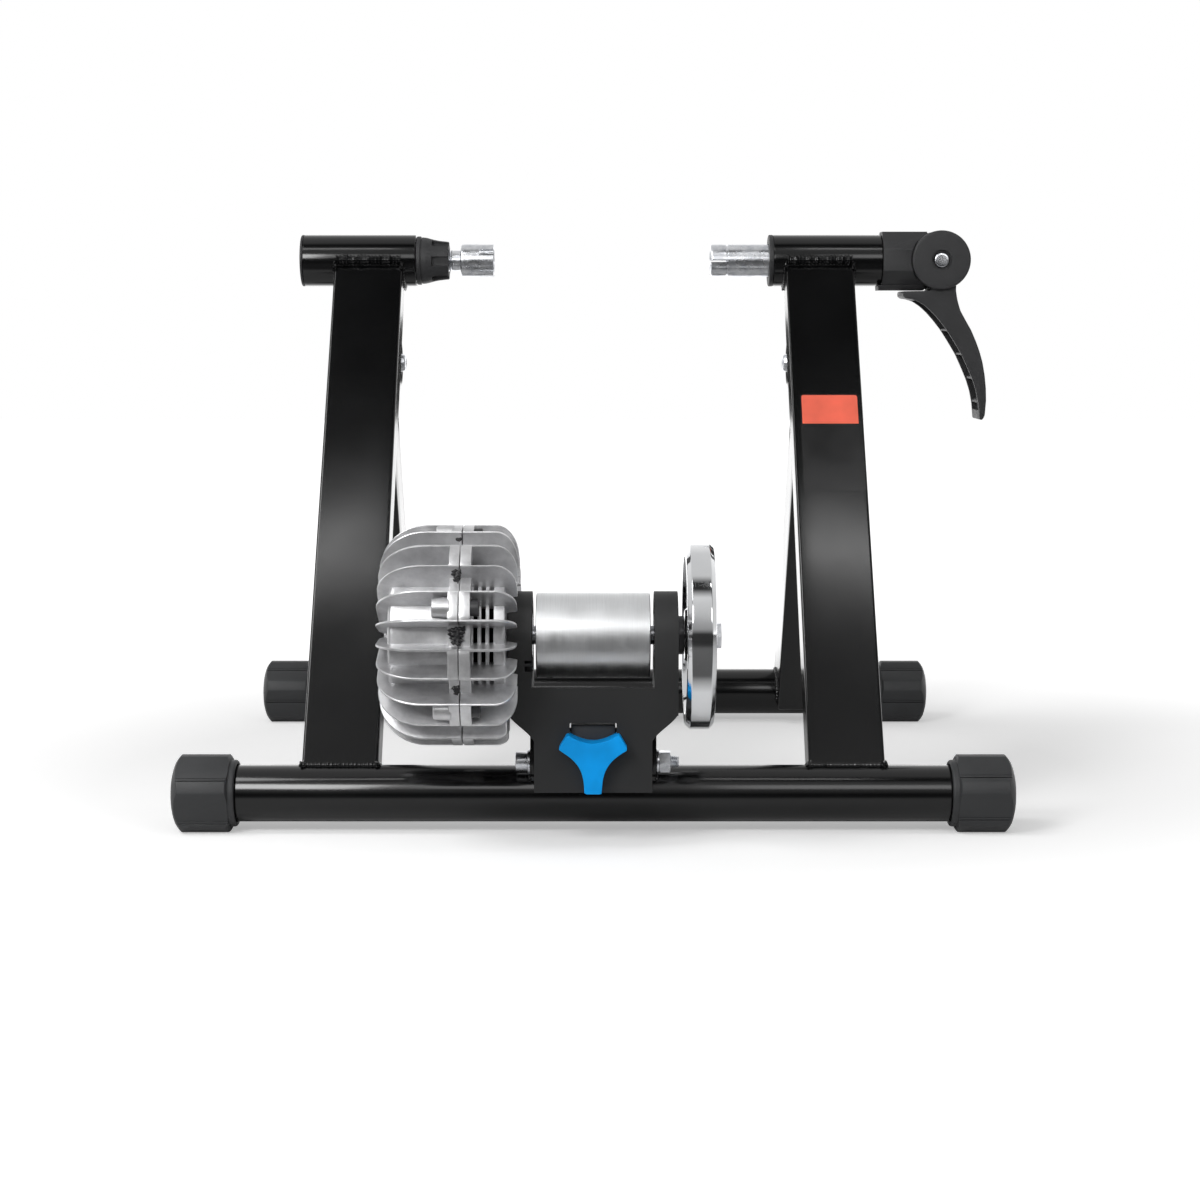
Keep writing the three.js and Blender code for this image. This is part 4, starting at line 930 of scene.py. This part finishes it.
def lever():
    size = leverSizes
    hub = Vector((hubLine.x, axleLine.y, axleLine.z))
    low, high = boxOf("clamp_lever")
    inner, outer, half = size["slot"], (high.y - low.y) / 2, size["halfWidth"]
    outline = [(hub.x + u, hub.z + v) for u, v in leverBack + leverFront]
    grip = prism("clamp_lever", rounded(outline, 1.4, 2), "Y", hub.y - half, hub.y + half, nylon)
    settled(softened(grip, 1.3, 4, 50))
    tongueRoom = crossRod("tongueRoom", 18.6, hub, hub.y - inner, hub.y + inner, nylon)
    # the hollow between the grip's two walls is deeper towards the hub
    front = [(hub.x + u, hub.z + v) for u, v in leverFront[2:14]]
    floor = [(x + 3 + 4 * i / len(front), z + 1.6) for i, (x, z) in enumerate(front)]
    pocket = prism("pocket", floor[::-1] + [(x - 7, z) for x, z in front], "Y", hub.y - half + size["wall"],
                   hub.y + half - size["wall"], nylon)
    cut(grip, tongueRoom, pocket)
    ribs = []
    for i in range(size["ribs"]):
        down = -size["firstRib"] - i * size["ribPitch"]
        x = hub.x + min(leverFront[2:12], key=lambda place: abs(place[1] - down))[0]
        z, thick, root = hub.z + down, size["ribThickness"], x + size["ribRoot"] - size["ribShorter"] * i
        ribs.append(prism("rib", rounded([(x + 0.3, z - thick / 2), (root, z + size["ribRise"]),
                                          (root, z + size["ribRise"] + thick), (x + 0.3, z + thick / 2)], 0.3, 2),
                          "Y", hub.y - 16, hub.y + 16, nylon))
    fused(grip, *ribs)
    fused(grip, *[crossTurned("cheek", rounded(ring(side * inner, side * outer, 0, size["hubRadius"]),
                                               [0, 0.4, 1.6, 0], 5), hub, nylon, 120) for side in (-1, 1)])
    cut(grip, crossRod("hole", 4.3, hub, hub.y - 40, hub.y + 40, nylon),
        crossRod("recess", size["pinHead"], hub, hub.y - 40, hub.y - outer + 1.7, nylon),
        crossRod("recess", size["pinHead"], hub, hub.y + outer - 1.7, hub.y + 40, nylon))
    dressed(softened(grip, 0.35, 2, 40), "lever", "clamp_lever", angle=28)
    head = [(-outer - 0.5, 0), (-outer - 0.5, 4.2), (-outer - 0.1, 5.3), (-outer + 1.3, 5.5), (-outer + 1.3, 3.9),
            (outer - 1.2, 3.9), (outer - 1.2, 5.3), (outer + 0.2, 4.6), (outer + 0.2, 0)]
    pin = crossTurned("lever_pin", rounded(head, [0, 0.5, 0.8, 0.2, 0, 0, 0.6, 0.8, 0], 4), hub, zinc, 64)
    dressed(pin, "lever", "lever_pin")


rightHolder()
clampSpindle()
clampHousing()
lever()
print("right axle holder made")


# Roller bracket on the front tube, the yoke that hangs on it and their bolt
bracketSizes = {"plate": 3, "ear": 10, "back": 8, "bolt": 4.3}
yokeSizes = {"arm": 15, "armRadius": 28, "plate": 4, "flange": 4, "pivotEar": 8.5, "halfFoot": 37.2,
             "plateDrop": 29.7, "shoulderTop": 17.8, "shoulderBottom": 32.5, "windowHalf": 14.7, "windowLow": 3.5,
             "windowTop": 21.7, "journal": 11.4, "bearing": 14.3}


def rollerBracket():
    low, high = boxOf("roller_bracket")
    ear, plate, bolt = bracketSizes["ear"], bracketSizes["plate"], bracketSizes["bolt"]
    y, z = pivotLine.y, pivotLine.z
    backY = frontTube.y + bracketSizes["back"]
    outline = [(y - ear, high.z)] + arcPoints(y, z, ear, 180, 270, 12) + [(y, low.z), (backY, low.z), (backY, high.z)]
    body = prism("roller_bracket", outline, "X", low.x, high.x, paint)
    gap = corners(y - 20, low.z - 5, backY - plate, high.z + 5)
    cut(body, prism("gap", gap, "X", low.x + plate, high.x - plate, paint),
        rod("tube", tubeRadius + 0.05, low.x - 5, high.x + 5, frontTube, paint, 96),
        rod("bolt", bolt, low.x - 5, high.x + 5, pivotLine, paint, 32),
        crossRod("stud", bolt, knobLine, backY - 8, backY + 4, paint, 32))
    dressed(softened(body, 0.6, 2, 40), "stand", "roller_bracket")
    beads = []
    for x in (low.x - 0.2, low.x + plate + 0.2, high.x - plate - 0.2, high.x + 0.2):
        path = [(x, *place) for place in arcPoints(frontTube.y, frontTube.z, tubeRadius + 0.1, 64, 142, 14)]
        beads.append(bead("seam", path, 1.3, 4 + x))
    welded("rollerBracketWelds", "stand", beads)


def yoke():
    low, high = boxOf("roller_yoke")
    size = yokeSizes
    x0, front, bottom = (low.x + high.x) / 2, low.y, low.z
    wide, slim = (high.x - low.x) / 2, size["halfFoot"]
    back = rollerLine.y + size["armRadius"]
    plateTop = rollerLine.z - size["plateDrop"]
    shoulderTop, shoulderBottom = plateTop - size["shoulderTop"], plateTop - size["shoulderBottom"]
    curve = []  # the shoulder goes from the wide plate to the narrow foot in one S
    for t in [i / 12 for i in range(13)]:
        ease = t * t * (3 - 2 * t)
        curve.append((wide - (wide - slim) * (0.55 * ease + 0.45 * t),
                      shoulderTop + 1.5 - (shoulderTop - shoulderBottom + 3) * t))
    outline = [(x0 + wide, plateTop)] + [(x0 + u, v) for u, v in curve] + [(x0 + slim, bottom), (x0 - slim, bottom)]
    outline += [(x0 - u, v) for u, v in reversed(curve)] + [(x0 - wide, plateTop)]
    plate = prism("roller_yoke", outline, "Y", front, front + size["plate"], satinPaint)
    armOutline = arcPoints(rollerLine.y, rollerLine.z, size["armRadius"], 0, 150, 30)
    armOutline += [(front, rollerLine.z + 4), (front, plateTop - 6), (back, plateTop - 6)]
    flangeOutline = [(front + 1, bottom), (front + size["plate"] + 8, bottom)]
    flangeOutline += arcPoints(pivotLine.y, pivotLine.z, size["pivotEar"], -90, 60, 14)
    flangeOutline += [(back, shoulderBottom), (back, shoulderTop + 2), (front + 1, shoulderTop + 2)]
    added = [prism("part", shape, "X", *sorted((x0 + side * reach, x0 + side * (reach - thick))), satinPaint)
             for shape, reach, thick in ((armOutline, wide, size["arm"]), (flangeOutline, slim, size["flange"]))
             for side in (-1, 1)]
    added.append(prism("shelf", corners(front + 1, shoulderTop, back, shoulderTop + 4), "X", x0 - wide, x0 + wide,
                       satinPaint))
    fused(plate, *added)
    middle, half = knobLine.z, size["windowHalf"]
    opening = corners(x0 - half, middle + size["windowLow"], x0 + half, middle + size["windowTop"])
    window = prism("window", rounded(opening, 0.8, 3), "Y", front - 2, front + 8, satinPaint)
    studHole = crossRod("studHole", 8, knobLine, front - 2, front + 8, satinPaint, 48)
    # the two slots of the left arm's set screw, by how far their lower edge is under the roller's line
    slots = [prism("slot", corners(x0 - 42.7, rollerLine.z - down, x0 - 37.3, rollerLine.z - down + height), "Y",
                   front - 2, front + 9, satinPaint) for down, height in ((14.3, 1.8), (19.5, 3.4))]
    bolt = rod("bolt", bracketSizes["bolt"], low.x - 5, high.x + 5, pivotLine, satinPaint, 32)
    journal = rod("journal", size["journal"], low.x - 5, high.x + 5, rollerLine, satinPaint, 64)
    bores = [rod("bore", size["bearing"], *sorted((x0 + side * 36, x0 + side * 46.9)), rollerLine, satinPaint, 64)
             for side in (-1, 1)]
    cut(plate, window, studHole, *slots, bolt, journal, *bores)
    dressed(softened(plate, 0.15, 1, 40), "roller_unit", "roller_yoke", angle=28)


def pivotHardware():
    low, high = boxOf("pivot_bolt")
    headEnd = boxOf("left_pivot_washer")[0].x - 0.2
    bolt = turned("pivot_bolt", rounded(ring(headEnd, low.x, 0, 6.4), [0, 0.3, 0.9, 0], 4), pivotLine, zinc, 48)
    cut(bolt, hexRod("socket", 3.6, low.x - 1, low.x + 4, pivotLine, zinc))
    joinedTo(bolt, threaded("thread", 4, 1.25, 0.65, headEnd - 1, high.x, pivotLine, zinc, 32, 6))
    dressed(bolt, "stand", "pivot_bolt")
    for node in ("left_pivot_washer", "right_pivot_washer"):
        low, high = boxOf(node)
        turnedPiece(node, "stand", ring(low.x, high.x, bracketSizes["bolt"], 8), 0.3, pivotLine, zinc)
    low, high = boxOf("pivot_nut")
    dressed(hexRod("pivot_nut", 7.5, low.x, high.x, pivotLine, zinc), "stand", "pivot_nut")


rollerBracket()
yoke()
pivotHardware()
print("yoke and bracket made")


# Tension knob with its stud, nut and the block behind the window
knobSizes = {"lobes": 3, "reach": 22, "halfWidth": 5.6, "neck": (7.5, 5.3), "corner": 1.5, "bevel": 1.7}


# Three lobes; from each lobe's end the outline bends in past the neck to the next lobe
def knobOutline():
    size = knobSizes
    reach, half = size["reach"], size["halfWidth"]
    neck, side = size["neck"]

    def place(radius, offset, lobe):
        a = math.radians(-90 + 360 / size["lobes"] * lobe)
        return Vector((knobLine.x + radius * math.cos(a) - offset * math.sin(a),
                       knobLine.z + radius * math.sin(a) + offset * math.cos(a)))

    outline = []
    for lobe in range(size["lobes"]):
        start, end, following = place(reach, -half, lobe), place(reach, half, lobe), place(reach, -half, lobe + 1)
        first, second = place(neck, side, lobe), place(neck, -side, lobe + 1)
        share = size["corner"] / 11
        outline += [start.lerp(end, share), end.lerp(start, share),
                    end + (start - end) * 0.03 + (first - end).normalized() * 0.35]
        for t in [0.06 + 0.88 * k / 20 for k in range(1, 20)]:
            outline.append(end * (1 - t) ** 3 + first * 3 * t * (1 - t) ** 2 + second * 3 * t * t * (1 - t)
                           + following * t ** 3)
        outline.append(following + (second - following).normalized() * 0.9)
    return [tuple(p) for p in outline]


def knob():
    low, high = boxOf("tension_knob")
    body = prism("tension_knob", knobOutline(), "Y", low.y, high.y, knobBlue)
    cut(body, crossRod("bore", 4.4, knobLine, high.y - 8, high.y + 2, knobBlue, 48))
    dressed(softened(body, knobSizes["bevel"], 5, 50), "knob", "tension_knob", angle=40)


# The stud and its nut are drawn along X and turned to point back
def knobHardware():
    origin = Vector((0, 0, 0))
    for node, body in (("knob_stud", "knob"), ("stud_nut", "stand")):
        low, high = boxOf(node)
        length = high.y - low.y
        piece = (threaded(node, 4, 1.5, 0.7, 0, length, origin, zinc, 28, 5) if node == "knob_stud"
                 else hexRod(node, 7.5, 0, length, origin, zinc))
        dressed(transformed(piece, placed(low.y, knobLine.z, math.pi / 2, knobLine.x, "Z")), body, node)


def thrustBlock():
    low, high = boxOf("thrust_block")
    plateBack = boxOf("roller_yoke")[0].y + yokeSizes["plate"] + 0.3
    block = prism("thrust_block", corners(low.x, low.z, high.x, high.z), "Y", plateBack, high.y, nylon)
    fused(block, prism("raised", corners(low.x, knobLine.z + 3.8, high.x, high.z), "Y", low.y, plateBack + 1, nylon))
    cut(block, crossRod("hole", 8, knobLine, low.y - 2, high.y + 2, nylon, 48))
    dressed(softened(block, 0.7, 3, 40), "roller_unit", "thrust_block")


knob()
knobHardware()
thrustBlock()
print("knob made")


# Roller, shaft and flywheel
rotorSizes = {"edge": 1.1, "journal": 11, "endFace": 22, "endRim": 23, "endDish": 1.2, "shaft": 6, "bore": 6.3,
              "chamfer": 3, "rim": 9, "dish": 4, "hub": 16, "screwIn": 8.4, "screwTurn": 76}


def roller():
    low, high = boxOf("roller")
    radius = radiusOf("roller")
    size = rotorSizes
    half = [(0, size["bore"]), (0, size["journal"]), (size["endDish"], size["journal"] + 0.6),
            (size["endDish"], size["endFace"]), (0, size["endRim"]), (0, radius)]
    softness = [0, 0.3, 0.4, 0.4, 0.4, size["edge"]]
    profile = [(low.x + far, r) for far, r in half] + [(high.x - far, r) for far, r in half[::-1]]
    drum = turned("roller", rounded(profile, softness + softness[::-1], 4), rollerLine, rollerFinish, 160, True)
    screw = crossRod("screw", 2.4, Vector((low.x + size["screwIn"], 0, 0)), -5, 5, rollerFinish, 32)
    turn = Matrix.Rotation(math.radians(size["screwTurn"]), 4, "X")
    transformed(screw, Matrix.Translation(rollerLine) @ turn @ Matrix.Translation((0, -radius, 0)))
    dressed(cut(drum, screw), "rotor", "roller")


def shaftParts():
    low, high = boxOf("roller_shaft")
    bore = rotorSizes["bore"]
    turnedPiece("roller_shaft", "rotor", ring(low.x, high.x, 0, rotorSizes["shaft"]), [0, 0.5, 0.8, 0], rollerLine,
                zinc, 48, False)
    for node, body, radius, corner, finish in (
            ("left_bearing", "roller_unit", 14, 0.4, zinc), ("right_bearing", "roller_unit", 14, 0.4, zinc),
            ("flywheel_spacer", "rotor", 12.3, 0.5, screwFinish)):
        low, high = boxOf(node)
        turnedPiece(node, body, ring(low.x, high.x, bore, radius), corner, rollerLine, finish)
    low, high = boxOf("flywheel_nut")
    dressed(hexRod("flywheel_nut", 9, low.x, high.x, rollerLine, zinc), "rotor", "flywheel_nut")


# Points 1 mm beside each bend keep the flat rims flat under smooth shading
def flywheel():
    low, high = boxOf("flywheel")
    radius = radiusOf("flywheel")
    c, dish, hub = rotorSizes["chamfer"], rotorSizes["dish"], rotorSizes["hub"]
    rim = radius - rotorSizes["rim"]
    half = [(0, rotorSizes["bore"]), (0, hub), (dish, hub + 3), (dish, rim - 2), (0, rim), (0, rim + 1.2),
            (0, radius - c - 1), (0, radius - c), (0.7, radius - c + 0.7), (c - 0.7, radius - 0.7), (c, radius),
            (c + 1, radius)]
    softness = [0, 1, 2, 2, 1, 0, 0, 0.6, 0, 0, 0.6, 0]
    profile = [(low.x + far, r) for far, r in half] + [(high.x - far, r) for far, r in half[::-1]]
    turnedPiece("flywheel", "rotor", profile, softness + softness[::-1], rollerLine, chrome, 192, arcs=4, angle=18)


roller()
shaftParts()
flywheel()
print("roller and flywheel made")


# Fluid unit on the left end of the shaft: a cup and a vented cover, each with fins all round
fluidSizes = {"finRadius": 70.2, "coreRadius": 51, "lowRadius": 59.7, "wall": 4.5, "fins": 24, "tip": 1.5,
              "root": 3.2, "rim": 0.35, "hubFin": 14, "screws": 6, "screwCircle": 64.5, "bossRadius": 6.8,
              "blockFoot": 50, "ventWidth": 2.5, "ventPitch": 4.9, "vents": 3, "lumpShift": -1.6}
# dabs of sealant on the joint: angle up from the front, distance out, width, height and thickness
sealantLumps = [(66, 69.6, 3, 2.2, 0.8), (39.3, 69.3, 5, 8, 1.2), (7.1, 60.6, 11, 10, 1.1), (-21.5, 69.6, 3.6, 5, 1.1)]
core, finReach = fluidSizes["coreRadius"], fluidSizes["finRadius"]
innerRadius = core - fluidSizes["wall"]


# One cast fin: outer and inner are lists of (x, radius); it is thin at the rim and thick at the root
def finPlate(outer, inner):
    tip, root, rim = fluidSizes["tip"] / 2, fluidSizes["root"] / 2, fluidSizes["rim"]
    flat = tip - rim
    points = []
    for (x, r), (u, v) in zip(outer, inner):
        inward = (Vector((u, v)) - Vector((x, r))).normalized() * rim * 1.3
        a, b = x + inward.x, r + inward.y
        points += [(u, -root, v), (a, -tip, b), (x, -flat, r), (x, flat, r), (a, tip, b), (u, root, v)]
    rows = len(outer)
    return newObject("fin", points, bandFaces(rows, 6) + endFaces(rows, 6), castFinish)


# The joint's flange is as wide as the fins at every second one
def flangeBlocks(low, high):
    half = math.radians(180 / fluidSizes["fins"])
    edge = [(math.sin(a) * finReach, math.cos(a) * finReach) for a in [half * (k / 3 - 1) for k in range(7)]]
    foot = [(math.sin(a) * fluidSizes["blockFoot"], math.cos(a) * fluidSizes["blockFoot"]) for a in (half, -half)]
    block = softened(prism("block", edge + foot, "X", low, high, castFinish), 0.5, 2, 40)
    return around(settled(block), fluidSizes["fins"] // 2, 7.5, 30)


# A turned wall of the castings, with the same fineness all over
def shell(name, profile, radii, arcs, closed=True):
    return turned(name, rounded(profile, radii, arcs), rollerLine, castFinish, 144, closed)


# The bosses are placed by the first screw's angle about the shaft, from straight up towards the front
def screwBosses(flangeLeft):
    size = fluidSizes
    boss = turned("boss", rounded([(flangeLeft - 10, 0), (flangeLeft - 10, size["bossRadius"] - 0.5),
                                   (flangeLeft + 1, size["bossRadius"]), (flangeLeft + 1, 0)], [0, 1.4, 0, 0], 4),
                  Vector((0, 0, size["screwCircle"])), castFinish, 32)
    middle = middleOf("housing_screw_1") - rollerLine
    return around(boss, size["screws"], math.degrees(math.atan2(-middle.y, middle.z)), 360 / size["screws"])


def fluidCup():
    size = fluidSizes
    low, high = boxOf("fluid_housing")
    split, lowRadius, hubFin = high.x, size["lowRadius"], size["hubFin"]
    coreLeft, flangeLeft = low.x + 7.5, split - 6.5
    profile = [(coreLeft - 5.3, 0), (coreLeft - 5.3, 12.6), (coreLeft, 13.6), (coreLeft, core), (flangeLeft, core),
               (flangeLeft, lowRadius), (split, lowRadius), (split, innerRadius), (coreLeft + 5, innerRadius),
               (coreLeft + 5, 0)]
    body = shell("fluid_housing", profile, [0, 1.5, 1, 4, 1.5, 0.8, 0.3, 0.3, 3, 0], 5, False)
    bend = (29.5, 26)  # the fins' rounded corner, across and down
    corner = low.x + bend[0]
    outer = [(split - 0.2, finReach), (corner, finReach)] + ellipse(corner, finReach - bend[1], *bend, 90, 180, 14)[1:]
    outer += [(low.x, 32), (low.x, 20.5), (low.x + 1, 18.3), (coreLeft - 5, hubFin)]
    foot = coreLeft + 1.5
    inside = [(split - 0.2, core - 1), (corner, core - 1)]
    for t in [k / 14 for k in range(1, 15)]:  # level first, then down the end wall's round edge
        inside.append((corner + (foot - corner) * min(1, t / 0.62), core - 1 - 8 * max(0, (t - 0.62) / 0.38)))
    inside += [(foot, 32), (foot, 20.5), (foot, 17), (foot, hubFin - 1.5)]
    joinedTo(body, around(finPlate(outer, inside), size["fins"], 0, 360 / size["fins"]),
             flangeBlocks(flangeLeft, split - 0.05), screwBosses(flangeLeft))
    dressed(body, "roller_unit", "fluid_housing", angle=30)


def housingCover():
    size = fluidSizes
    low, high = boxOf("housing_cover")
    split, flangeRight, lowRadius = low.x, low.x + 6.9, size["lowRadius"]
    ventFrom, pitch, slot = flangeRight + 1.1, size["ventPitch"], size["ventWidth"]
    endFrom = ventFrom + pitch * (size["vents"] - 1) + slot
    endTo, armFace = endFrom + 7.2, boxOf("roller_yoke")[0].x - 0.3
    profile = [(split, 6.5), (split, lowRadius), (flangeRight, lowRadius), (flangeRight, core), (ventFrom, core),
               (ventFrom, innerRadius), (split + 4.5, innerRadius), (split + 4.5, 6.5)]
    whole = [shell("housing_cover", profile, [0.3, 0.3, 0.8, 1, 0.6, 0.6, 1, 0.3], 4)]
    for i in range(1, size["vents"]):
        start, stop = ventFrom + (i - 1) * pitch + slot, ventFrom + i * pitch
        whole.append(shell("ring", ring(start, stop, innerRadius, core), 0.6, 3))
    wall = [(endFrom, 11.4), (endFrom, core), (endTo, core), (endTo, 20), (armFace, 19.4), (armFace, 11.4)]
    whole.append(shell("wall", wall, [0.3, 0.6, 1.6, 1.5, 0.8, 0.3], 4))
    bend = (13.7, 21)
    corner = high.x - bend[0]
    outer = [(split + 0.2, finReach), (corner, finReach)] + ellipse(corner, finReach - bend[1], *bend, 90, 0, 10)[1:]
    outer.append((high.x, 40.6))
    foot = innerRadius + 0.3
    inside = [(split + 0.2, foot), (endFrom + 1, foot)]
    inside += [(endTo - 1, foot - 6.5 * k / 10) for k in range(1, 11)] + [(endTo - 1, 39.6)]
    # the fins beside the yoke's arm end before it
    for reach, count, first in ((high.x, 19, 225), (armFace, 5, 150)):
        whole.append(around(finPlate([(min(x, reach), r) for x, r in outer], inside), count, first, 360 / size["fins"]))
    dressed(joinedTo(*whole, flangeBlocks(split + 0.05, flangeRight)), "roller_unit", "housing_cover", angle=30)
    # a near-black drum just inside the vent slots: painted shade for the dark inside of the cover
    drum = ring(ventFrom - 0.4, endFrom + 0.3, innerRadius - 3.4, innerRadius - 0.8)
    dressed(turned("ventDrum", rounded(drum, 0.4, 2), rollerLine, ventDark, 96, True), "roller_unit")
    sealantDabs(split + size["lumpShift"])


def sealantDabs(middle):
    for place, (angle, reach, width, height, thick) in enumerate(sealantLumps):
        path = []
        for k in range(9):  # a zigzag that narrows towards its lower end
            t = k / 8
            turn = math.radians(angle + math.degrees(height * (0.5 - t) / reach))
            path.append((middle + width / 2 * (1 - 0.5 * t) * (-1) ** k, rollerLine.y - reach * math.cos(turn),
                         rollerLine.z + reach * math.sin(turn)))
        dressed(bead(f"sealant{place + 1}", path, thick, 40 + place, sealant, 0.3, 1.6), "roller_unit", angle=60)


def housingScrews():
    end = boxOf("housing_screw_1")[1].x
    profile = rounded([(end - 22, 0), (end - 22, 2.5), (end - 6, 2.5), (end - 6, 5.1), (end, 5.1), (end, 0)],
                      [0, 0.3, 0, 0.2, 0.7, 0], 3)
    for i in range(fluidSizes["screws"]):
        node = f"housing_screw_{i + 1}"
        middle = middleOf(node)
        screw = turned(node, profile, middle, screwFinish, 40)
        cut(screw, hexRod("socket", 2.3, end - 2.6, end + 1, middle, screwFinish))
        dressed(screw, "roller_unit", node)


fluidCup()
housingCover()
housingScrews()
for node, finish in (("housing_gasket", rubber), ("impeller", castFinish)):
    carried = frame["nodes"][node]
    carried.data.materials.clear()
    carried.data.materials.append(finish)
print("fluid unit made")


# Floor, lights and camera: each lamp's place, aim, width, height and power
worldLight = 0.22
white = (1, 1, 1, 1)
lamps = {
    "stripLight": ((-0.185, -1.2, 0.8), (-0.185, 0, 0.2), 0.43, 0.36, 1.15),
    "rightStrip": ((0.77, -1.2, 0.8), (0.65, 0, 0.2), 1.02, 0.36, 3.1),
    "leftLight": ((-0.7, -1.15, 0.8), (-0.1, 0, 0.2), 0.42, 0.42, 7.5),
    "upperLeft": ((-0.37, -0.62, 1.3), (-0.37, -0.08, 0.18), 0.42, 0.075, 0.52),
    "upperRight": ((0.37, -0.62, 1.3), (0.37, -0.08, 0.18), 0.42, 0.075, 0.52),
    "keyLight": ((-1.5, -0.9, 2.2), (0, 0, 0.2), 0.9, 0.9, 16)}
# what polished pieces reflect, from level in front over straight up (0.5) to level behind (1)
skyStops = [(0, 0.03), (0.05, 0.03), (0.08, 0.3), (0.3, 0.7), (0.36, 0.03), (0.41, 0.02), (0.47, 0.6), (0.7, 0.65),
            (0.84, 0.9), (0.93, 1.0)]


# White sweep: shadows show near the stand and fade out; in reflections it is brightest behind and ends in front
def floorMaterial():
    look = Finish("paleFloor")
    camera, glossy = look.rays("Camera", "Glossy")
    x, y, _ = look.axes("ShaderNodeTexCoord", "Object")
    far = look.ramp((x * x * 0.7 + y * y) ** 0.5, 0.3, 0.85, 0.36, 1.0)
    behind = look.ramp(y, 0.3, 0.7, 0.0, 1.5)
    ahead = look.ramp(y, -0.38, -0.3, 0.1, 1.0)
    glow = look.make("ShaderNodeEmission", values={"Color": white, "Strength": camera * far + glossy * behind})
    pale = look.mix(glossy * (1 - ahead), (0.86, 0.86, 0.86), (0.04, 0.04, 0.04))
    matt = look.make("ShaderNodeBsdfDiffuse", values={"Color": pale})
    both = look.make("ShaderNodeAddShader", values={0: glow, 1: matt})
    plug(look.tree, look.tree.nodes["Material Output"].inputs["Surface"], both)
    return look.material


# White for the camera; reflections see a dark room in front, a grey ceiling and a bright backdrop behind
def skyMaterial():
    scene.world = bpy.data.worlds.new("studio")
    scene.world.use_nodes = True
    look = Graph(scene.world.node_tree)
    camera, glossy, through = look.rays("Camera", "Glossy", "Transmission")
    _, back, up = look.axes("ShaderNodeTexCoord", "Generated")
    angle = up.maths("ARCTAN2", back * -1) / math.pi
    tone = look.make("ShaderNodeValToRGB", {"stops": skyStops}, {"Fac": angle})
    behind = look.ramp(angle, 0.84, 0.95, 1.0, 1.7)
    seen = camera + through
    strength = seen + glossy * tone * behind + (1 - seen - glossy).maths("MAXIMUM", 0.0) * worldLight
    light = look.make("ShaderNodeBackground", values={"Color": white, "Strength": strength})
    plug(look.tree, look.tree.nodes["World Output"].inputs["Surface"], light)


def lamp(name, place, aim, width, height, watts):
    data = bpy.data.lights.new(name, "AREA")
    data.shape = "RECTANGLE"
    data.size, data.size_y = width, height
    data.energy = watts
    obj = bpy.data.objects.new(name, data)
    scene.collection.objects.link(obj)
    obj.location = place
    obj.rotation_euler = (Vector(aim) - Vector(place)).to_track_quat("-Z", "Y").to_euler()
    obj.visible_camera = False


floorHalf = 6000
floor = newObject("floor", [(x, y, 0) for x, y in corners(-floorHalf, -floorHalf, floorHalf, floorHalf)],
                  [(0, 1, 2, 3)], floorMaterial())
skyMaterial()
for name, values in lamps.items():
    lamp(name, *values)
camera = bpy.data.objects.new("camera", bpy.data.cameras.new("camera"))
scene.collection.objects.link(camera)
camera.location = (-0.00045, -1.6671, 0.333)
camera.rotation_euler = (math.radians(90 - 6.91), 0, 0)
camera.data.lens = 69.75
camera.data.sensor_width = 36
scene.camera = camera
scene.view_settings.view_transform = "Standard"
print("floor, lights and camera made")
